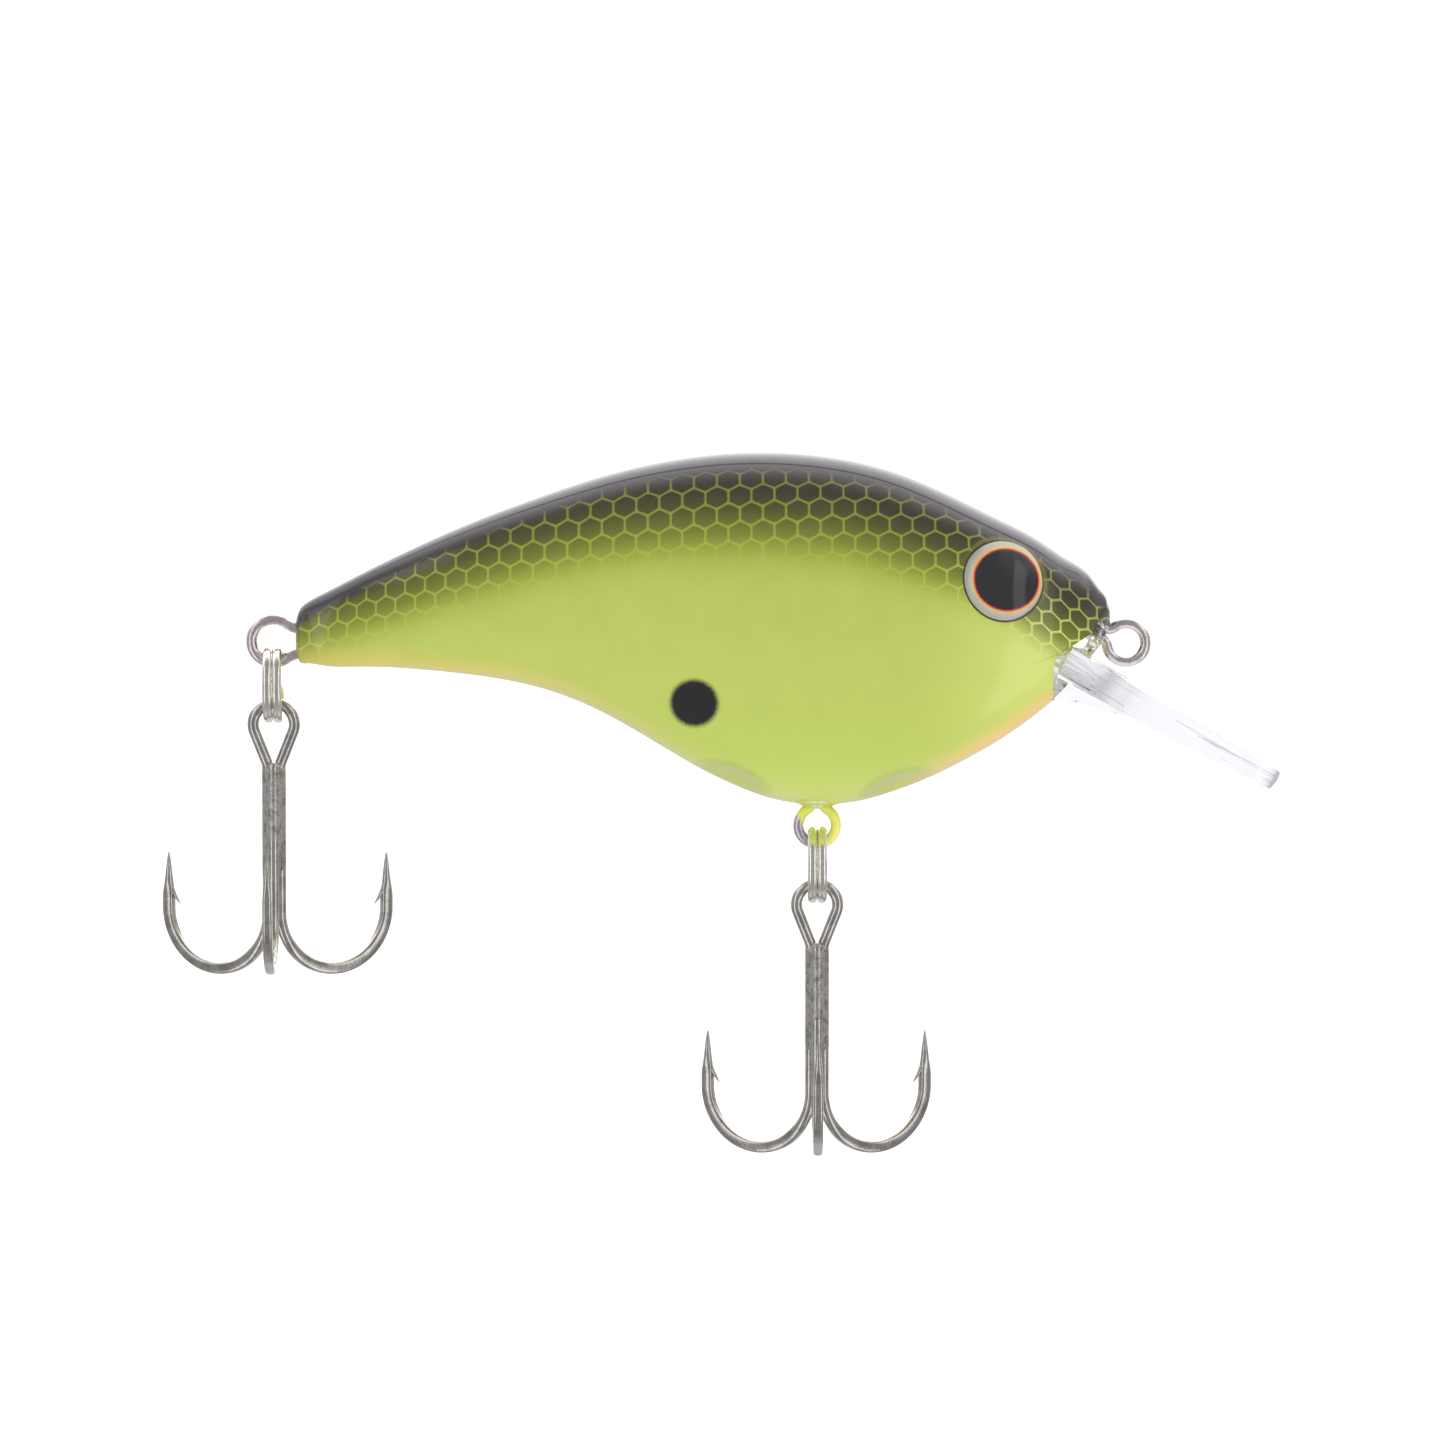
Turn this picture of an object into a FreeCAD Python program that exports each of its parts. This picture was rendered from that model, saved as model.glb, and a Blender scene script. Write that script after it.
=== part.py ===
import FreeCAD, Part
import math
import os

# Crankbait lure: two hollow body halves, a clear diving lip, wire loops, split rings and treble
# hooks. Millimetres. Origin: centre of the line tie eye. +X towards the nose, +Z up, +Y away
# from the right-hand side of the lure.

Vector = FreeCAD.Vector
Rotation = FreeCAD.Rotation
Placement = FreeCAD.Placement

DIMENSIONS = {
    "body_half_width": 8.0,
    "side_flatness": 2.5,
    "wall": 1.2,
    "wire_clearance": 0.03,
    "play": 0.08,
    "tie_wire": 0.85,
    "tie_inner": 2.18,
    "belly_wire": 0.83,
    "belly_inner": 2.12,
    "tail_wire": 0.87,
    "tail_inner": 2.54,
    "ring_inner": 4.9,
    "ring_coil_wide": 0.8,
    "ring_coil_deep": 0.65,
    "ring_coil_gap": 0.04,
    "hook_wire": 0.9,
    "hook_eye_inner": 2.34,
    "hook_spread": 9.95,
    "hook_wire_offset": 0.56,
    "hook_shank": 14.83,
    "hook_single_lift": 0.8,
    "braze_diameter": 2.08,
    "braze_top": 2.95,
    "braze_end": 11.3,
    "point_depth": 10.5,
    "needle_tip": 0.06,
    "needle_mid": 0.48,
    "needle_tip_length": 1.0,
    "needle_length": 2.4,
    "barb_diameter": 0.5,
    "barb_length": 1.45,
    "eye_diameter": 6.25,
    "iris_thick": 0.35,
    "lens_rim": 0.55,
    "lens_dome": 1.0,
    "ballast_diameter": 6.4,
    "ballast_length": 11.0,
    "ball_diameter": 4.5,
    "tunnel_diameter": 4.8,
    "tunnel_length": 10.4,
    "pin_diameter": 1.6,
    "pin_length": 1.5,
    "boss_diameter": 3.8,
    "rib_thick": 1.0,
    "dimple_radius": 4.2,
}

# Body stations, tail to nose: distance, back height, belly height, share of the half width.
STATIONS = [
    (-65.2, 1.9, -0.9, 0.11),
    (-65.05, 2.35, -1.3, 0.17),
    (-64.5, 3.1, -1.65, 0.225),
    (-63.0, 3.95, -1.82, 0.27),
    (-60.2, 5.4, -1.9, 0.325),
    (-55.5, 7.7, -2.1, 0.425),
    (-50.8, 9.75, -2.6, 0.54),
    (-46.0, 11.55, -3.55, 0.65),
    (-41.35, 13.1, -5.35, 0.765),
    (-36.6, 14.25, -8.05, 0.865),
    (-31.9, 14.9, -10.7, 0.94),
    (-27.2, 15.0, -12.4, 0.985),
    (-22.5, 14.54, -12.66, 1.0),
    (-17.8, 13.35, -11.55, 0.975),
    (-13.05, 11.3, -9.4, 0.905),
    (-9.9, 9.75, -7.6, 0.825),
    (-6.8, 8.1, -5.4, 0.7),
    (-4.4, 6.5, -3.2, 0.55),
    (-2.8, 5.3, -1.2, 0.4),
    (-1.9, 4.1, 0.0, 0.275),
    (-1.4, 3.1, 0.9, 0.15),
    (-1.25, 2.4, 1.5, 0.065),
]
FIRST_HOLLOW = 5
LAST_HOLLOW = 15
SECTION_POINTS = 15

TIE_EYE = Vector(0, 0, 0)
BELLY_EYE = Vector(-24.25, 0, -14.4)
TAIL_EYE = Vector(-66.98, 0, 0.13)
EYE_AT = Vector(-10.0, 0, 5.0)
EYE_RISE = 15
EYE_TURN = 9
EYE_SOCKET_FLOOR = 5.05
BALLAST_AT = Vector(-17.6, 0, -5.6)
TUNNEL_AT = Vector(-36.0, 0, 2.4)
PIN_SPOTS = [(-52.0, 3.6), (-27.5, 9.5), (-30.5, -6.5)]
RIB_SPOTS = [-46.0, -41.2, -30.9]
DIMPLE_SPOTS = [(-32.1, -10.2), (-17.0, -10.8)]
DIMPLE_OUT = 4.4
DIMPLE_DROP = 3.4
SIDE_REACH = 12

# Blocks left inside the hollow: length along X and height of each seat.
WIRE_SEAT = (9.0, 6.0)
WIRE_SEAT_RISE = 0.5
BALLAST_SEAT = (8.4, 9.0)
BALLAST_SEAT_FLOOR = -13
TUNNEL_WALL = 1.2
SOCKET_WALL = 1.0

# Wire loops: name, eye, tilt, half gap of the legs, neck radius, then for each leg its straight
# length, the length of its hooked end and the radius of that bend.
WIRES = [
    ("tie", "line_tie_wire", TIE_EYE, -22, 0.48, 0.6, [(2.0, 1.2, 0.8), (2.0, 0.8, 0.8)]),
    ("belly", "belly_hanger_wire", BELLY_EYE, -90, 0.46, 0.6, [(2.2, 1.6, 0.8), (2.2, 1.6, 0.8)]),
    ("tail", "tail_hanger_wire", TAIL_EYE, 180, 0.95, 2.5, [(3.5, -0.6, 0.6), (3.5, 0, 0)]),
]

# Clear nose and lip root, in front of the painted body, as (x, z) points.
NOSE_REGION = [
    (-1.5, 3.6), (-2.2, 2.1), (-3.1, 0.2), (-3.45, -0.3), (-4.8, 0.0), (-5.45, -0.35), (-5.85, -1.4),
    (-5.9, -3.2), (-5.75, -4.7), (-5.0, -8.0), (3.0, -8.0), (3.0, 3.6),
]
# Blade from the side, thicker at the root and rounded under the front edge.
BLADE_PROFILE = [
    (-9.0, 2.5), (11.35, -9.36), (11.7, -9.75), (11.5, -10.35), (10.9, -10.95), (10.3, -10.68),
    (-9.0, -0.65),
]
# Blade from above: distance from its root and half width, from the tang to the front corner.
BLADE_SIDE = [(-4.0, 2.4), (0.4, 2.4), (0.4, 4.2), (7.0, 7.9), (18.9, 8.4)]
BLADE_FRONT = 19.95
BLADE_BLOCK = 16
BLADE_ROOT = Vector(-5.4, 0, -1.0)
BLADE_DROP = 29
FRONT_ROUND = 2.8
SHOULDER_ROUND = 6.0
RIDGE = [(-3.2, -0.5), (-2.5, -1.05), (-0.25, -2.15), (1.9, -4.2), (-3.2, -2.6)]
RIDGE_HALF = 0.8
WEB = [(-5.8, -2.0), (-5.75, -4.5), (-3.6, -4.65), (2.2, -6.45), (-2.0, -2.6)]
WEB_HALF = 2.2

RING_STEP = 60
RING_START = 120
HOOK_NECK = 2.6
HOOK_SPREAD_ANGLE = 30
BARB_ROOT = (0.3, -0.15)
BARB_HEADING = (-0.95, -1.15)

doc = FreeCAD.newDocument("crankbait_lure")


def make_sheet():
    """Put the driving dimensions in a sheet, one alias each."""
    sheet = doc.addObject("Spreadsheet::Sheet", "dimensions")
    for row, (name, value) in enumerate(DIMENSIONS.items(), start=1):
        sheet.set("A%d" % row, name)
        sheet.set("B%d" % row, str(value))
        sheet.setAlias("B%d" % row, name)
    doc.recompute()
    return sheet


sheet = make_sheet()


def dim(name):
    return float(sheet.get(name))


def bound(kind, name, sizes, place=None):
    """Add a Part object whose sizes follow the sheet."""
    item = doc.addObject("Part::" + kind, name)
    for prop, formula in sizes.items():
        item.setExpression(prop, formula)
    if place:
        item.Placement = place
    return item


def plain(name, shape):
    """Add a shape that Part's own functions made."""
    item = doc.addObject("Part::Feature", name)
    item.Shape = shape
    return item


def fuse(name, parts):
    item = doc.addObject("Part::MultiFuse", name)
    item.Shapes = parts
    item.Refine = True
    return item


def common(name, parts):
    item = doc.addObject("Part::MultiCommon", name)
    item.Shapes = parts
    return item


def cut(name, base, tools):
    """Take one tool, or several fused together, from the base."""
    item = doc.addObject("Part::Cut", name)
    item.Base = base
    item.Tool = tools[0] if len(tools) == 1 else fuse(name + "_tools", tools)
    return item


def along(start, direction):
    """Placement that carries the local Z axis to a start point and direction."""
    return Placement(start, Rotation(Vector(0, 0, 1), direction))


def across(at, length):
    """Placement of a cylinder of this length that lies along Y, centred on the parting plane."""
    return along(Vector(at.x, -length / 2, at.z), Vector(0, 1, 0))


def prism(points, half_depth):
    """Extrude a closed outline of (x, z) points to both sides of the parting plane."""
    corners = [Vector(x, -half_depth, z) for x, z in points]
    face = Part.Face(Part.makePolygon(corners + corners[:1]))
    return face.extrude(Vector(0, 2 * half_depth, 0))


# ---- body ----

def half_section(station, inset, side):
    """Closed superellipse half section: a spline from belly to back and a line at the middle."""
    x, top, bottom, share = station
    width = dim("body_half_width") * share - inset
    middle = (top + bottom) / 2
    height = (top - bottom) / 2 - inset
    power = 2 / dim("side_flatness")
    points = []
    for index in range(SECTION_POINTS):
        angle = math.pi * index / (SECTION_POINTS - 1) - math.pi / 2
        out = abs(math.cos(angle)) ** power if 0 < index < SECTION_POINTS - 1 else 0
        rise = math.copysign(abs(math.sin(angle)) ** power, angle)
        points.append(Vector(x, side * width * out, middle + height * rise))
    skin = Part.BSplineCurve()
    away = Vector(0, side, 0)
    skin.interpolate(Points=points, InitialTangent=away, FinalTangent=-away)
    return Part.Wire([skin.toShape(), Part.makeLine(points[-1], points[0])])


def half_body(side, inset=0.0, first=0, last=len(STATIONS) - 1):
    sections = [half_section(spot, inset, side) for spot in STATIONS[first:last + 1]]
    return Part.makeLoft(sections, True, False)


def eye_axis(side):
    """Outward direction of an eye: sideways, a little up and a little forward."""
    rise = math.radians(EYE_RISE)
    turn = math.radians(EYE_TURN)
    return Vector(math.cos(rise) * math.sin(turn), side * math.cos(rise) * math.cos(turn), math.sin(rise))


def eye_place(side, lift=0.0):
    """Placement on the socket floor, with local Z pointing out of the eye."""
    floor = EYE_AT + Vector(0, side * EYE_SOCKET_FLOOR, 0)
    return along(floor + eye_axis(side) * lift, eye_axis(side))


def inner_bosses(side, label):
    """Solid blocks that stay inside the hollow: ribs, seats, tubes and pin posts."""
    edge = min(0, side * SIDE_REACH)

    def block(start, floor, length, height):
        return Part.makeBox(length, SIDE_REACH, height, Vector(start, edge, floor))

    def post(radius, x, z):
        return Part.makeCylinder(radius, SIDE_REACH, Vector(x, 0, z), Vector(0, side, 0))

    socket = Part.makeCylinder(dim("eye_diameter") / 2 + SOCKET_WALL, SIDE_REACH)
    socket.Placement = eye_place(side, -SOCKET_WALL)
    parts = [
        socket,
        block(BELLY_EYE.x - WIRE_SEAT[0] / 2, BELLY_EYE.z + WIRE_SEAT_RISE, *WIRE_SEAT),
        block(BALLAST_AT.x - BALLAST_SEAT[0] / 2, BALLAST_SEAT_FLOOR, *BALLAST_SEAT),
        post(dim("tunnel_diameter") / 2 + TUNNEL_WALL, TUNNEL_AT.x, TUNNEL_AT.z),
    ]
    parts += [block(spot, -2 * SIDE_REACH, dim("rib_thick"), 4 * SIDE_REACH) for spot in RIB_SPOTS]
    parts += [post(dim("boss_diameter") / 2, x, z) for x, z in PIN_SPOTS]
    return plain(label + "_bosses", parts[0].multiFuse(parts[1:]))


def dimple_tools(side, label):
    """Round cutters for the shallow scallops beside the belly line."""
    tools = []
    for index, (x, z) in enumerate(DIMPLE_SPOTS):
        centre = Vector(x, side * DIMPLE_OUT, z - DIMPLE_DROP)
        place = Placement(centre, Rotation(Vector(0, 0, 1), -90 * side))
        size = {"Radius": "dimensions.dimple_radius"}
        tools.append(bound("Sphere", "%s_dimple_%d" % (label, index), size, place))
    return tools


def body_shell(label, side, tools):
    """One moulded half: outer skin less its hollow, with seats for all that it holds."""
    skin = plain(label + "_skin", half_body(side))
    hollow = plain(label + "_hollow", half_body(side, dim("wall"), FIRST_HOLLOW, LAST_HOLLOW))
    chambers = cut(label + "_chambers", hollow, [inner_bosses(side, label)])
    size = {"Radius": "dimensions.eye_diameter / 2 + dimensions.wire_clearance", "Height": "8"}
    socket = bound("Cylinder", label + "_eye_socket", size, eye_place(side))
    shell = cut(label + "_cast", skin, [chambers, socket] + dimple_tools(side, label) + tools)
    posts = []
    for index, (x, z) in enumerate(PIN_SPOTS):
        place = along(Vector(x, -dim("pin_length"), z), Vector(0, 1, 0))
        size = {"Radius": "dimensions.pin_diameter / 2", "Height": "2 * dimensions.pin_length"}
        if side > 0:
            size["Radius"] += " + dimensions.wire_clearance"
            size["Height"] += " + 0.2"
        posts.append(bound("Cylinder", "%s_pin_%d" % (label, index), size, place))
    if side > 0:
        return cut(label, shell, posts)
    return fuse(label, [shell] + posts)


# ---- wires ----

def turned(point, centre, tilt):
    """Local (out, side) coordinates of a wire loop in the XZ plane, turned about Y."""
    out, side = point
    return centre + Vector(out * math.cos(tilt) - side * math.sin(tilt), 0,
                           out * math.sin(tilt) + side * math.cos(tilt))


def neck_points(ring, half_gap, neck):
    """Where an eye of radius ring meets a neck arc, the arc's middle, and where the leg starts."""
    start = -math.sqrt((ring + neck) ** 2 - (half_gap + neck) ** 2)
    centre = (start, half_gap + neck)
    share = ring / (ring + neck)
    touch = (centre[0] * share, centre[1] * share)
    aim = math.atan2(touch[1] - centre[1], touch[0] - centre[0])
    halfway = (aim - math.pi / 2) / 2
    middle = (centre[0] + neck * math.cos(halfway), centre[1] + neck * math.sin(halfway))
    return touch, middle, (start, half_gap)


def loop_edges(centre, tilt, ring, half_gap, neck):
    """Eye with its two neck arcs: from the upper leg round the eye to the lower leg."""
    touch, middle, leg = neck_points(ring, half_gap, neck)

    def spot(out, side):
        return turned((out, side), centre, tilt)

    upper = Part.Arc(spot(*leg), spot(*middle), spot(*touch))
    eye = Part.Arc(spot(*touch), spot(ring, 0), spot(touch[0], -touch[1]))
    lower = Part.Arc(spot(touch[0], -touch[1]), spot(middle[0], -middle[1]), spot(leg[0], -leg[1]))
    return [upper.toShape(), eye.toShape(), lower.toShape()], spot, leg


def anchor_edges(spot, leg, sign, length, hook, bend):
    """Straight leg from the neck into the body, then a hooked end of this length."""
    start = spot(leg[0], sign * leg[1])
    corner = spot(leg[0] - length, sign * leg[1])
    edges = [Part.makeLine(start, corner)]
    if hook:
        outward = sign if hook > 0 else -sign
        side = sign * leg[1]
        slant = math.sqrt(0.5) * bend
        middle = spot(leg[0] - length - slant, side + outward * (bend - slant))
        end = spot(leg[0] - length - bend, side + outward * bend)
        tip = spot(leg[0] - length - bend, side + outward * (bend + abs(hook)))
        edges.append(Part.Arc(corner, middle, end).toShape())
        edges.append(Part.makeLine(end, tip))
    return edges


def wire_path(centre, tilt, ring, half_gap, neck, legs):
    """Whole path of a wire loop, from the end of one anchor to the end of the other."""
    loop, spot, leg = loop_edges(centre, tilt, ring, half_gap, neck)
    upper = anchor_edges(spot, leg, 1, *legs[0])
    lower = anchor_edges(spot, leg, -1, *legs[1])
    return Part.Wire(Part.__sortEdges__(upper + loop + lower))


def round_bar(label, path, diameter):
    """Round wire swept along a path of lines and arcs."""
    spine = plain(label + "_path", path)
    first = path.OrderedEdges[0]
    start = first.valueAt(first.FirstParameter)
    heading = first.tangentAt(first.FirstParameter)
    if (path.OrderedVertexes[0].Point - start).Length > 1e-6:
        start = first.valueAt(first.LastParameter)
        heading = -first.tangentAt(first.LastParameter)
    profile = bound("Circle", label + "_profile", {"Radius": diameter + " / 2"}, along(start, heading))
    bar = doc.addObject("Part::Sweep", label)
    bar.Sections = [profile]
    bar.Spine = (spine, ["Edge%d" % (n + 1) for n in range(len(path.Edges))])
    bar.Solid = True
    bar.Frenet = False
    return bar


def body_wire(size, label, centre, tilt, half_gap, neck, legs):
    """Make a wire loop, and return the slightly larger channel that it lies in."""
    ring = (dim(size + "_inner") + dim(size + "_wire")) / 2
    path = wire_path(centre, math.radians(tilt), ring, half_gap, neck, legs)
    round_bar(label, path, "dimensions.%s_wire" % size)
    return round_bar(label + "_channel", path, "(dimensions.%s_wire + 2 * dimensions.wire_clearance)" % size)


# ---- lip ----

def round_upright(block, at, radius):
    """Round the two upright edges of the blade block at this distance from its root."""
    upright = [edge for edge in block.Edges if edge.BoundBox.ZLength > 0.9 * BLADE_BLOCK]
    return block.makeFillet(radius, [edge for edge in upright if abs(edge.BoundBox.XMin - at) < 0.1])


def blade_plan(place):
    """Blade seen from above: narrow tang, shoulders, nearly square front with round corners."""
    corners = [Vector(s, y, -BLADE_BLOCK / 2) for s, y in BLADE_SIDE]
    mirrored = [Vector(p.x, -p.y, p.z) for p in reversed(corners)]
    front = Part.Arc(corners[-1], Vector(BLADE_FRONT, 0, -BLADE_BLOCK / 2), mirrored[0]).toShape()
    edges = list(Part.makePolygon(corners).Edges) + [front] + list(Part.makePolygon(mirrored).Edges)
    edges.append(Part.makeLine(mirrored[-1], corners[0]))
    block = Part.Face(Part.Wire(edges)).extrude(Vector(0, 0, BLADE_BLOCK))
    block = round_upright(block, BLADE_SIDE[-1][0], FRONT_ROUND)
    block = round_upright(block, BLADE_SIDE[-2][0], SHOULDER_ROUND)
    block.Placement = place
    return block


def diving_lip(skins, channel):
    """Clear lip: nose block, blade, centre ridge and root web, with the wire channel cut out."""
    region = plain("lip_nose_region", prism(NOSE_REGION, SIDE_REACH))
    blocks = [common("lip_nose_block_%d" % n, [skin, region]) for n, skin in enumerate(skins)]
    place = Placement(BLADE_ROOT, Rotation(Vector(0, 1, 0), BLADE_DROP))
    sides = plain("lip_blade_side", prism(BLADE_PROFILE, SIDE_REACH))
    blade = common("lip_blade", [sides, plain("lip_blade_plan", blade_plan(place))])
    ridge = plain("lip_ridge", prism(RIDGE, RIDGE_HALF))
    web = plain("lip_web", prism(WEB, WEB_HALF))
    whole = fuse("lip_whole", blocks + [blade, ridge, web])
    return cut("diving_lip", whole, [channel])


# ---- eyes, ballast and rattle ----

def eye_parts(side_name, side):
    """Printed iris disc and the clear domed lens over it."""
    radius = "dimensions.eye_diameter / 2"
    bound("Cylinder", "eye_iris_" + side_name, {"Radius": radius, "Height": "dimensions.iris_thick"},
          eye_place(side))
    thick = dim("iris_thick")
    rim = dim("lens_rim")
    dome = dim("lens_dome")
    half = dim("eye_diameter") / 2
    curve = (half ** 2 + dome ** 2) / (2 * dome)
    drum = bound("Cylinder", "lens_drum_" + side_name,
                 {"Radius": radius, "Height": "dimensions.lens_rim + dimensions.lens_dome"},
                 eye_place(side, thick))
    size = {"Radius": "((%s) ^ 2 + dimensions.lens_dome ^ 2) / (2 * dimensions.lens_dome)" % radius}
    ball = bound("Sphere", "lens_ball_" + side_name, size, eye_place(side, thick + rim + dome - curve))
    return common("eye_lens_" + side_name, [drum, ball])


def inner_weights():
    """Ballast cylinder in its seat and the rattle ball in its tunnel, with their cutters."""
    ballast = bound("Cylinder", "ballast_bar",
                    {"Radius": "dimensions.ballast_diameter / 2", "Height": "dimensions.ballast_length"},
                    across(BALLAST_AT, dim("ballast_length")))
    doc.recompute()
    weight = doc.addObject("Part::Chamfer", "belly_ballast")
    weight.Base = ballast
    rims = [n + 1 for n, edge in enumerate(ballast.Shape.Edges) if edge.BoundBox.YLength < 1e-3]
    weight.Edges = [(n, 0.4, 0.4) for n in rims]
    gap = 2 * dim("wire_clearance")
    seat = bound("Cylinder", "ballast_seat",
                 {"Radius": "dimensions.ballast_diameter / 2 + dimensions.wire_clearance",
                  "Height": "dimensions.ballast_length + 2 * dimensions.wire_clearance"},
                 across(BALLAST_AT, dim("ballast_length") + gap))
    size = {"Radius": "dimensions.ball_diameter / 2"}
    bound("Sphere", "rattle_ball", size, Placement(TUNNEL_AT, Rotation()))
    tunnel = bound("Cylinder", "rattle_tunnel",
                   {"Radius": "dimensions.tunnel_diameter / 2", "Height": "dimensions.tunnel_length"},
                   across(TUNNEL_AT, dim("tunnel_length")))
    return [seat, tunnel]


# ---- split rings ----

def coil_section(angle, layer):
    """Rounded wire section of a ring at this angle, shifted sideways along X by layer."""
    deep = dim("ring_coil_deep")
    wide = dim("ring_coil_wide") / 2
    inner = dim("ring_inner") / 2
    soft = 0.24
    curve = soft * (1 - math.sqrt(0.5))

    def spot(x, r):
        return Vector(layer + x, r * math.sin(angle), r * math.cos(angle))

    low = inner
    high = inner + deep
    points = [
        (-wide + soft, low), (wide - soft, low), (wide - curve, low + curve), (wide, low + soft),
        (wide, high - soft), (wide - curve, high - curve), (wide - soft, high), (-wide + soft, high),
        (-wide + curve, high - curve), (-wide, high - soft), (-wide, low + soft),
        (-wide + curve, low + curve),
    ]
    at = [spot(*point) for point in points]
    edges = [
        Part.makeLine(at[0], at[1]), Part.Arc(at[1], at[2], at[3]).toShape(),
        Part.makeLine(at[3], at[4]), Part.Arc(at[4], at[5], at[6]).toShape(),
        Part.makeLine(at[6], at[7]), Part.Arc(at[7], at[8], at[9]).toShape(),
        Part.makeLine(at[9], at[10]), Part.Arc(at[10], at[11], at[0]).toShape(),
    ]
    return Part.Wire(edges)


def split_ring(label, centre):
    """Two flat turns of wire side by side, joined by a short stretch that steps across."""
    layer = (dim("ring_coil_wide") + dim("ring_coil_gap")) / 2
    flat = 360 - RING_STEP
    start = math.radians(RING_START)
    turn_axis = Vector(-1, 0, 0)
    first = Part.Face(coil_section(start, -layer)).revolve(Vector(), turn_axis, flat)
    second_start = start + math.radians(360)
    second = Part.Face(coil_section(second_start, layer)).revolve(Vector(), turn_axis, flat)
    sections = []
    for index in range(7):
        share = index / 6
        ease = share * share * (3 - 2 * share)
        angle = start + math.radians(flat + RING_STEP * share)
        sections.append(coil_section(angle, -layer + 2 * layer * ease))
    bridge = Part.makeLoft(sections, True, False)
    ring = first.multiFuse([bridge, second]).removeSplitter()
    item = plain(label, ring)
    item.Placement = Placement(centre, Rotation())
    return item


# ---- treble hooks ----

def prong_edges(root, direction, lift):
    """Straight shank stretch, half-round bend and the rise to the point, for one prong."""
    reach = (dim("hook_spread") - dim("hook_wire_offset")) / 2
    bottom = -dim("hook_shank") + lift
    down = Vector(0, 0, bottom)
    side = direction * (2 * reach)
    start = root + down
    middle = root + direction * reach + Vector(0, 0, bottom - reach)
    end = start + side
    rise = Vector(0, 0, needle_base() + lift - bottom)
    return [Part.Arc(start, middle, end).toShape(), Part.makeLine(end, end + rise)], start, end + rise


def needle_base():
    """Height, below the hook's eye, where the full wire stops and the point begins."""
    return -dim("point_depth") - dim("needle_tip_length") - dim("needle_length")


def point_parts(label, base, direction):
    """Two cones that make the needle, and a slim cone for the barb on the inner side."""
    up = Vector(0, 0, 1)
    shaft = bound("Cone", label + "_taper", {"Radius1": "dimensions.hook_wire / 2",
                  "Radius2": "dimensions.needle_mid / 2", "Height": "dimensions.needle_length"},
                  along(base, up))
    tip = bound("Cone", label + "_tip", {"Radius1": "dimensions.needle_mid / 2",
                "Radius2": "dimensions.needle_tip / 2", "Height": "dimensions.needle_tip_length"},
                along(base + up * dim("needle_length"), up))
    root = base + up * BARB_ROOT[0] + direction * BARB_ROOT[1]
    heading = (direction * BARB_HEADING[0] + up * BARB_HEADING[1]).normalize()
    barb = bound("Cone", label + "_barb", {"Radius1": "dimensions.barb_diameter / 2",
                 "Radius2": "dimensions.needle_tip / 2", "Height": "dimensions.barb_length"},
                 along(root, heading))
    return [shaft, tip, barb]


def treble_hook(label, eye):
    """Double wire with the eye, third wire towards -Y, and the braze that joins them."""
    offset = dim("hook_wire_offset")
    spread = math.radians(HOOK_SPREAD_ANGLE)
    aims = [Vector(math.cos(spread), math.sin(spread), 0), Vector(-math.cos(spread), math.sin(spread), 0)]
    aim_single = Vector(0, -1, 0)
    half_gap = offset * math.cos(spread)
    depth = -offset * math.sin(spread)
    axis = eye + Vector(0, depth, 0)
    ring = (dim("hook_eye_inner") + dim("hook_wire")) / 2
    loop, spot, leg = loop_edges(eye, math.pi / 2, ring, half_gap, HOOK_NECK)
    edges = list(loop)
    points = []
    for index, aim in enumerate(aims):
        root = axis + aim * offset
        bend, start, base = prong_edges(root, aim, 0)
        edges += [Part.makeLine(root + Vector(0, 0, leg[0]), start)] + bend
        points += point_parts("%s_point_%d" % (label, index), base, aim)
    bar = round_bar(label + "_bar", Part.Wire(Part.__sortEdges__(edges)), "dimensions.hook_wire")
    fuse(label + "_double_wire", [bar] + points)

    lift = dim("hook_single_lift")
    root = axis + aim_single * offset
    bend, start, base = prong_edges(root, aim_single, lift)
    edges = [Part.makeLine(root + Vector(0, 0, -dim("braze_top") - 0.3), start)] + bend
    bar = round_bar(label + "_single_bar", Part.Wire(Part.__sortEdges__(edges)), "dimensions.hook_wire")
    fuse(label + "_single_wire", [bar] + point_parts(label + "_single_point", base, aim_single))

    long = "dimensions.braze_end - dimensions.braze_top"
    size = {"Radius": "dimensions.braze_diameter / 2", "Height": long}
    sleeve = bound("Cylinder", label + "_sleeve", size,
                   along(axis + Vector(0, 0, -dim("braze_top")), Vector(0, 0, -1)))
    holes = []
    for index, aim in enumerate(aims + [aim_single]):
        place = along(axis + aim * offset, Vector(0, 0, -1))
        size = {"Radius": "dimensions.hook_wire / 2 + 0.005", "Height": "2 * dimensions.braze_end"}
        holes.append(bound("Cylinder", "%s_hole_%d" % (label, index), size, place))
    cut(label + "_braze", sleeve, holes)


def ring_drop(inner):
    """Distance from an eye's centre down to the surface that a ring of two coils rests on."""
    half = dim("ring_coil_wide") + dim("ring_coil_gap") / 2
    return math.sqrt((dim(inner) / 2) ** 2 - half ** 2) - dim("play")


def hang(label, loop_centre, inner):
    """Hang a split ring on a body loop and a treble hook on the ring."""
    radius = dim("ring_inner") / 2
    centre = loop_centre - Vector(0, 0, ring_drop(inner) + radius)
    split_ring(label + "_split_ring", centre)
    treble_hook(label + "_hook", centre - Vector(0, 0, radius + ring_drop("hook_eye_inner")))


# ---- assembly ----

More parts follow.
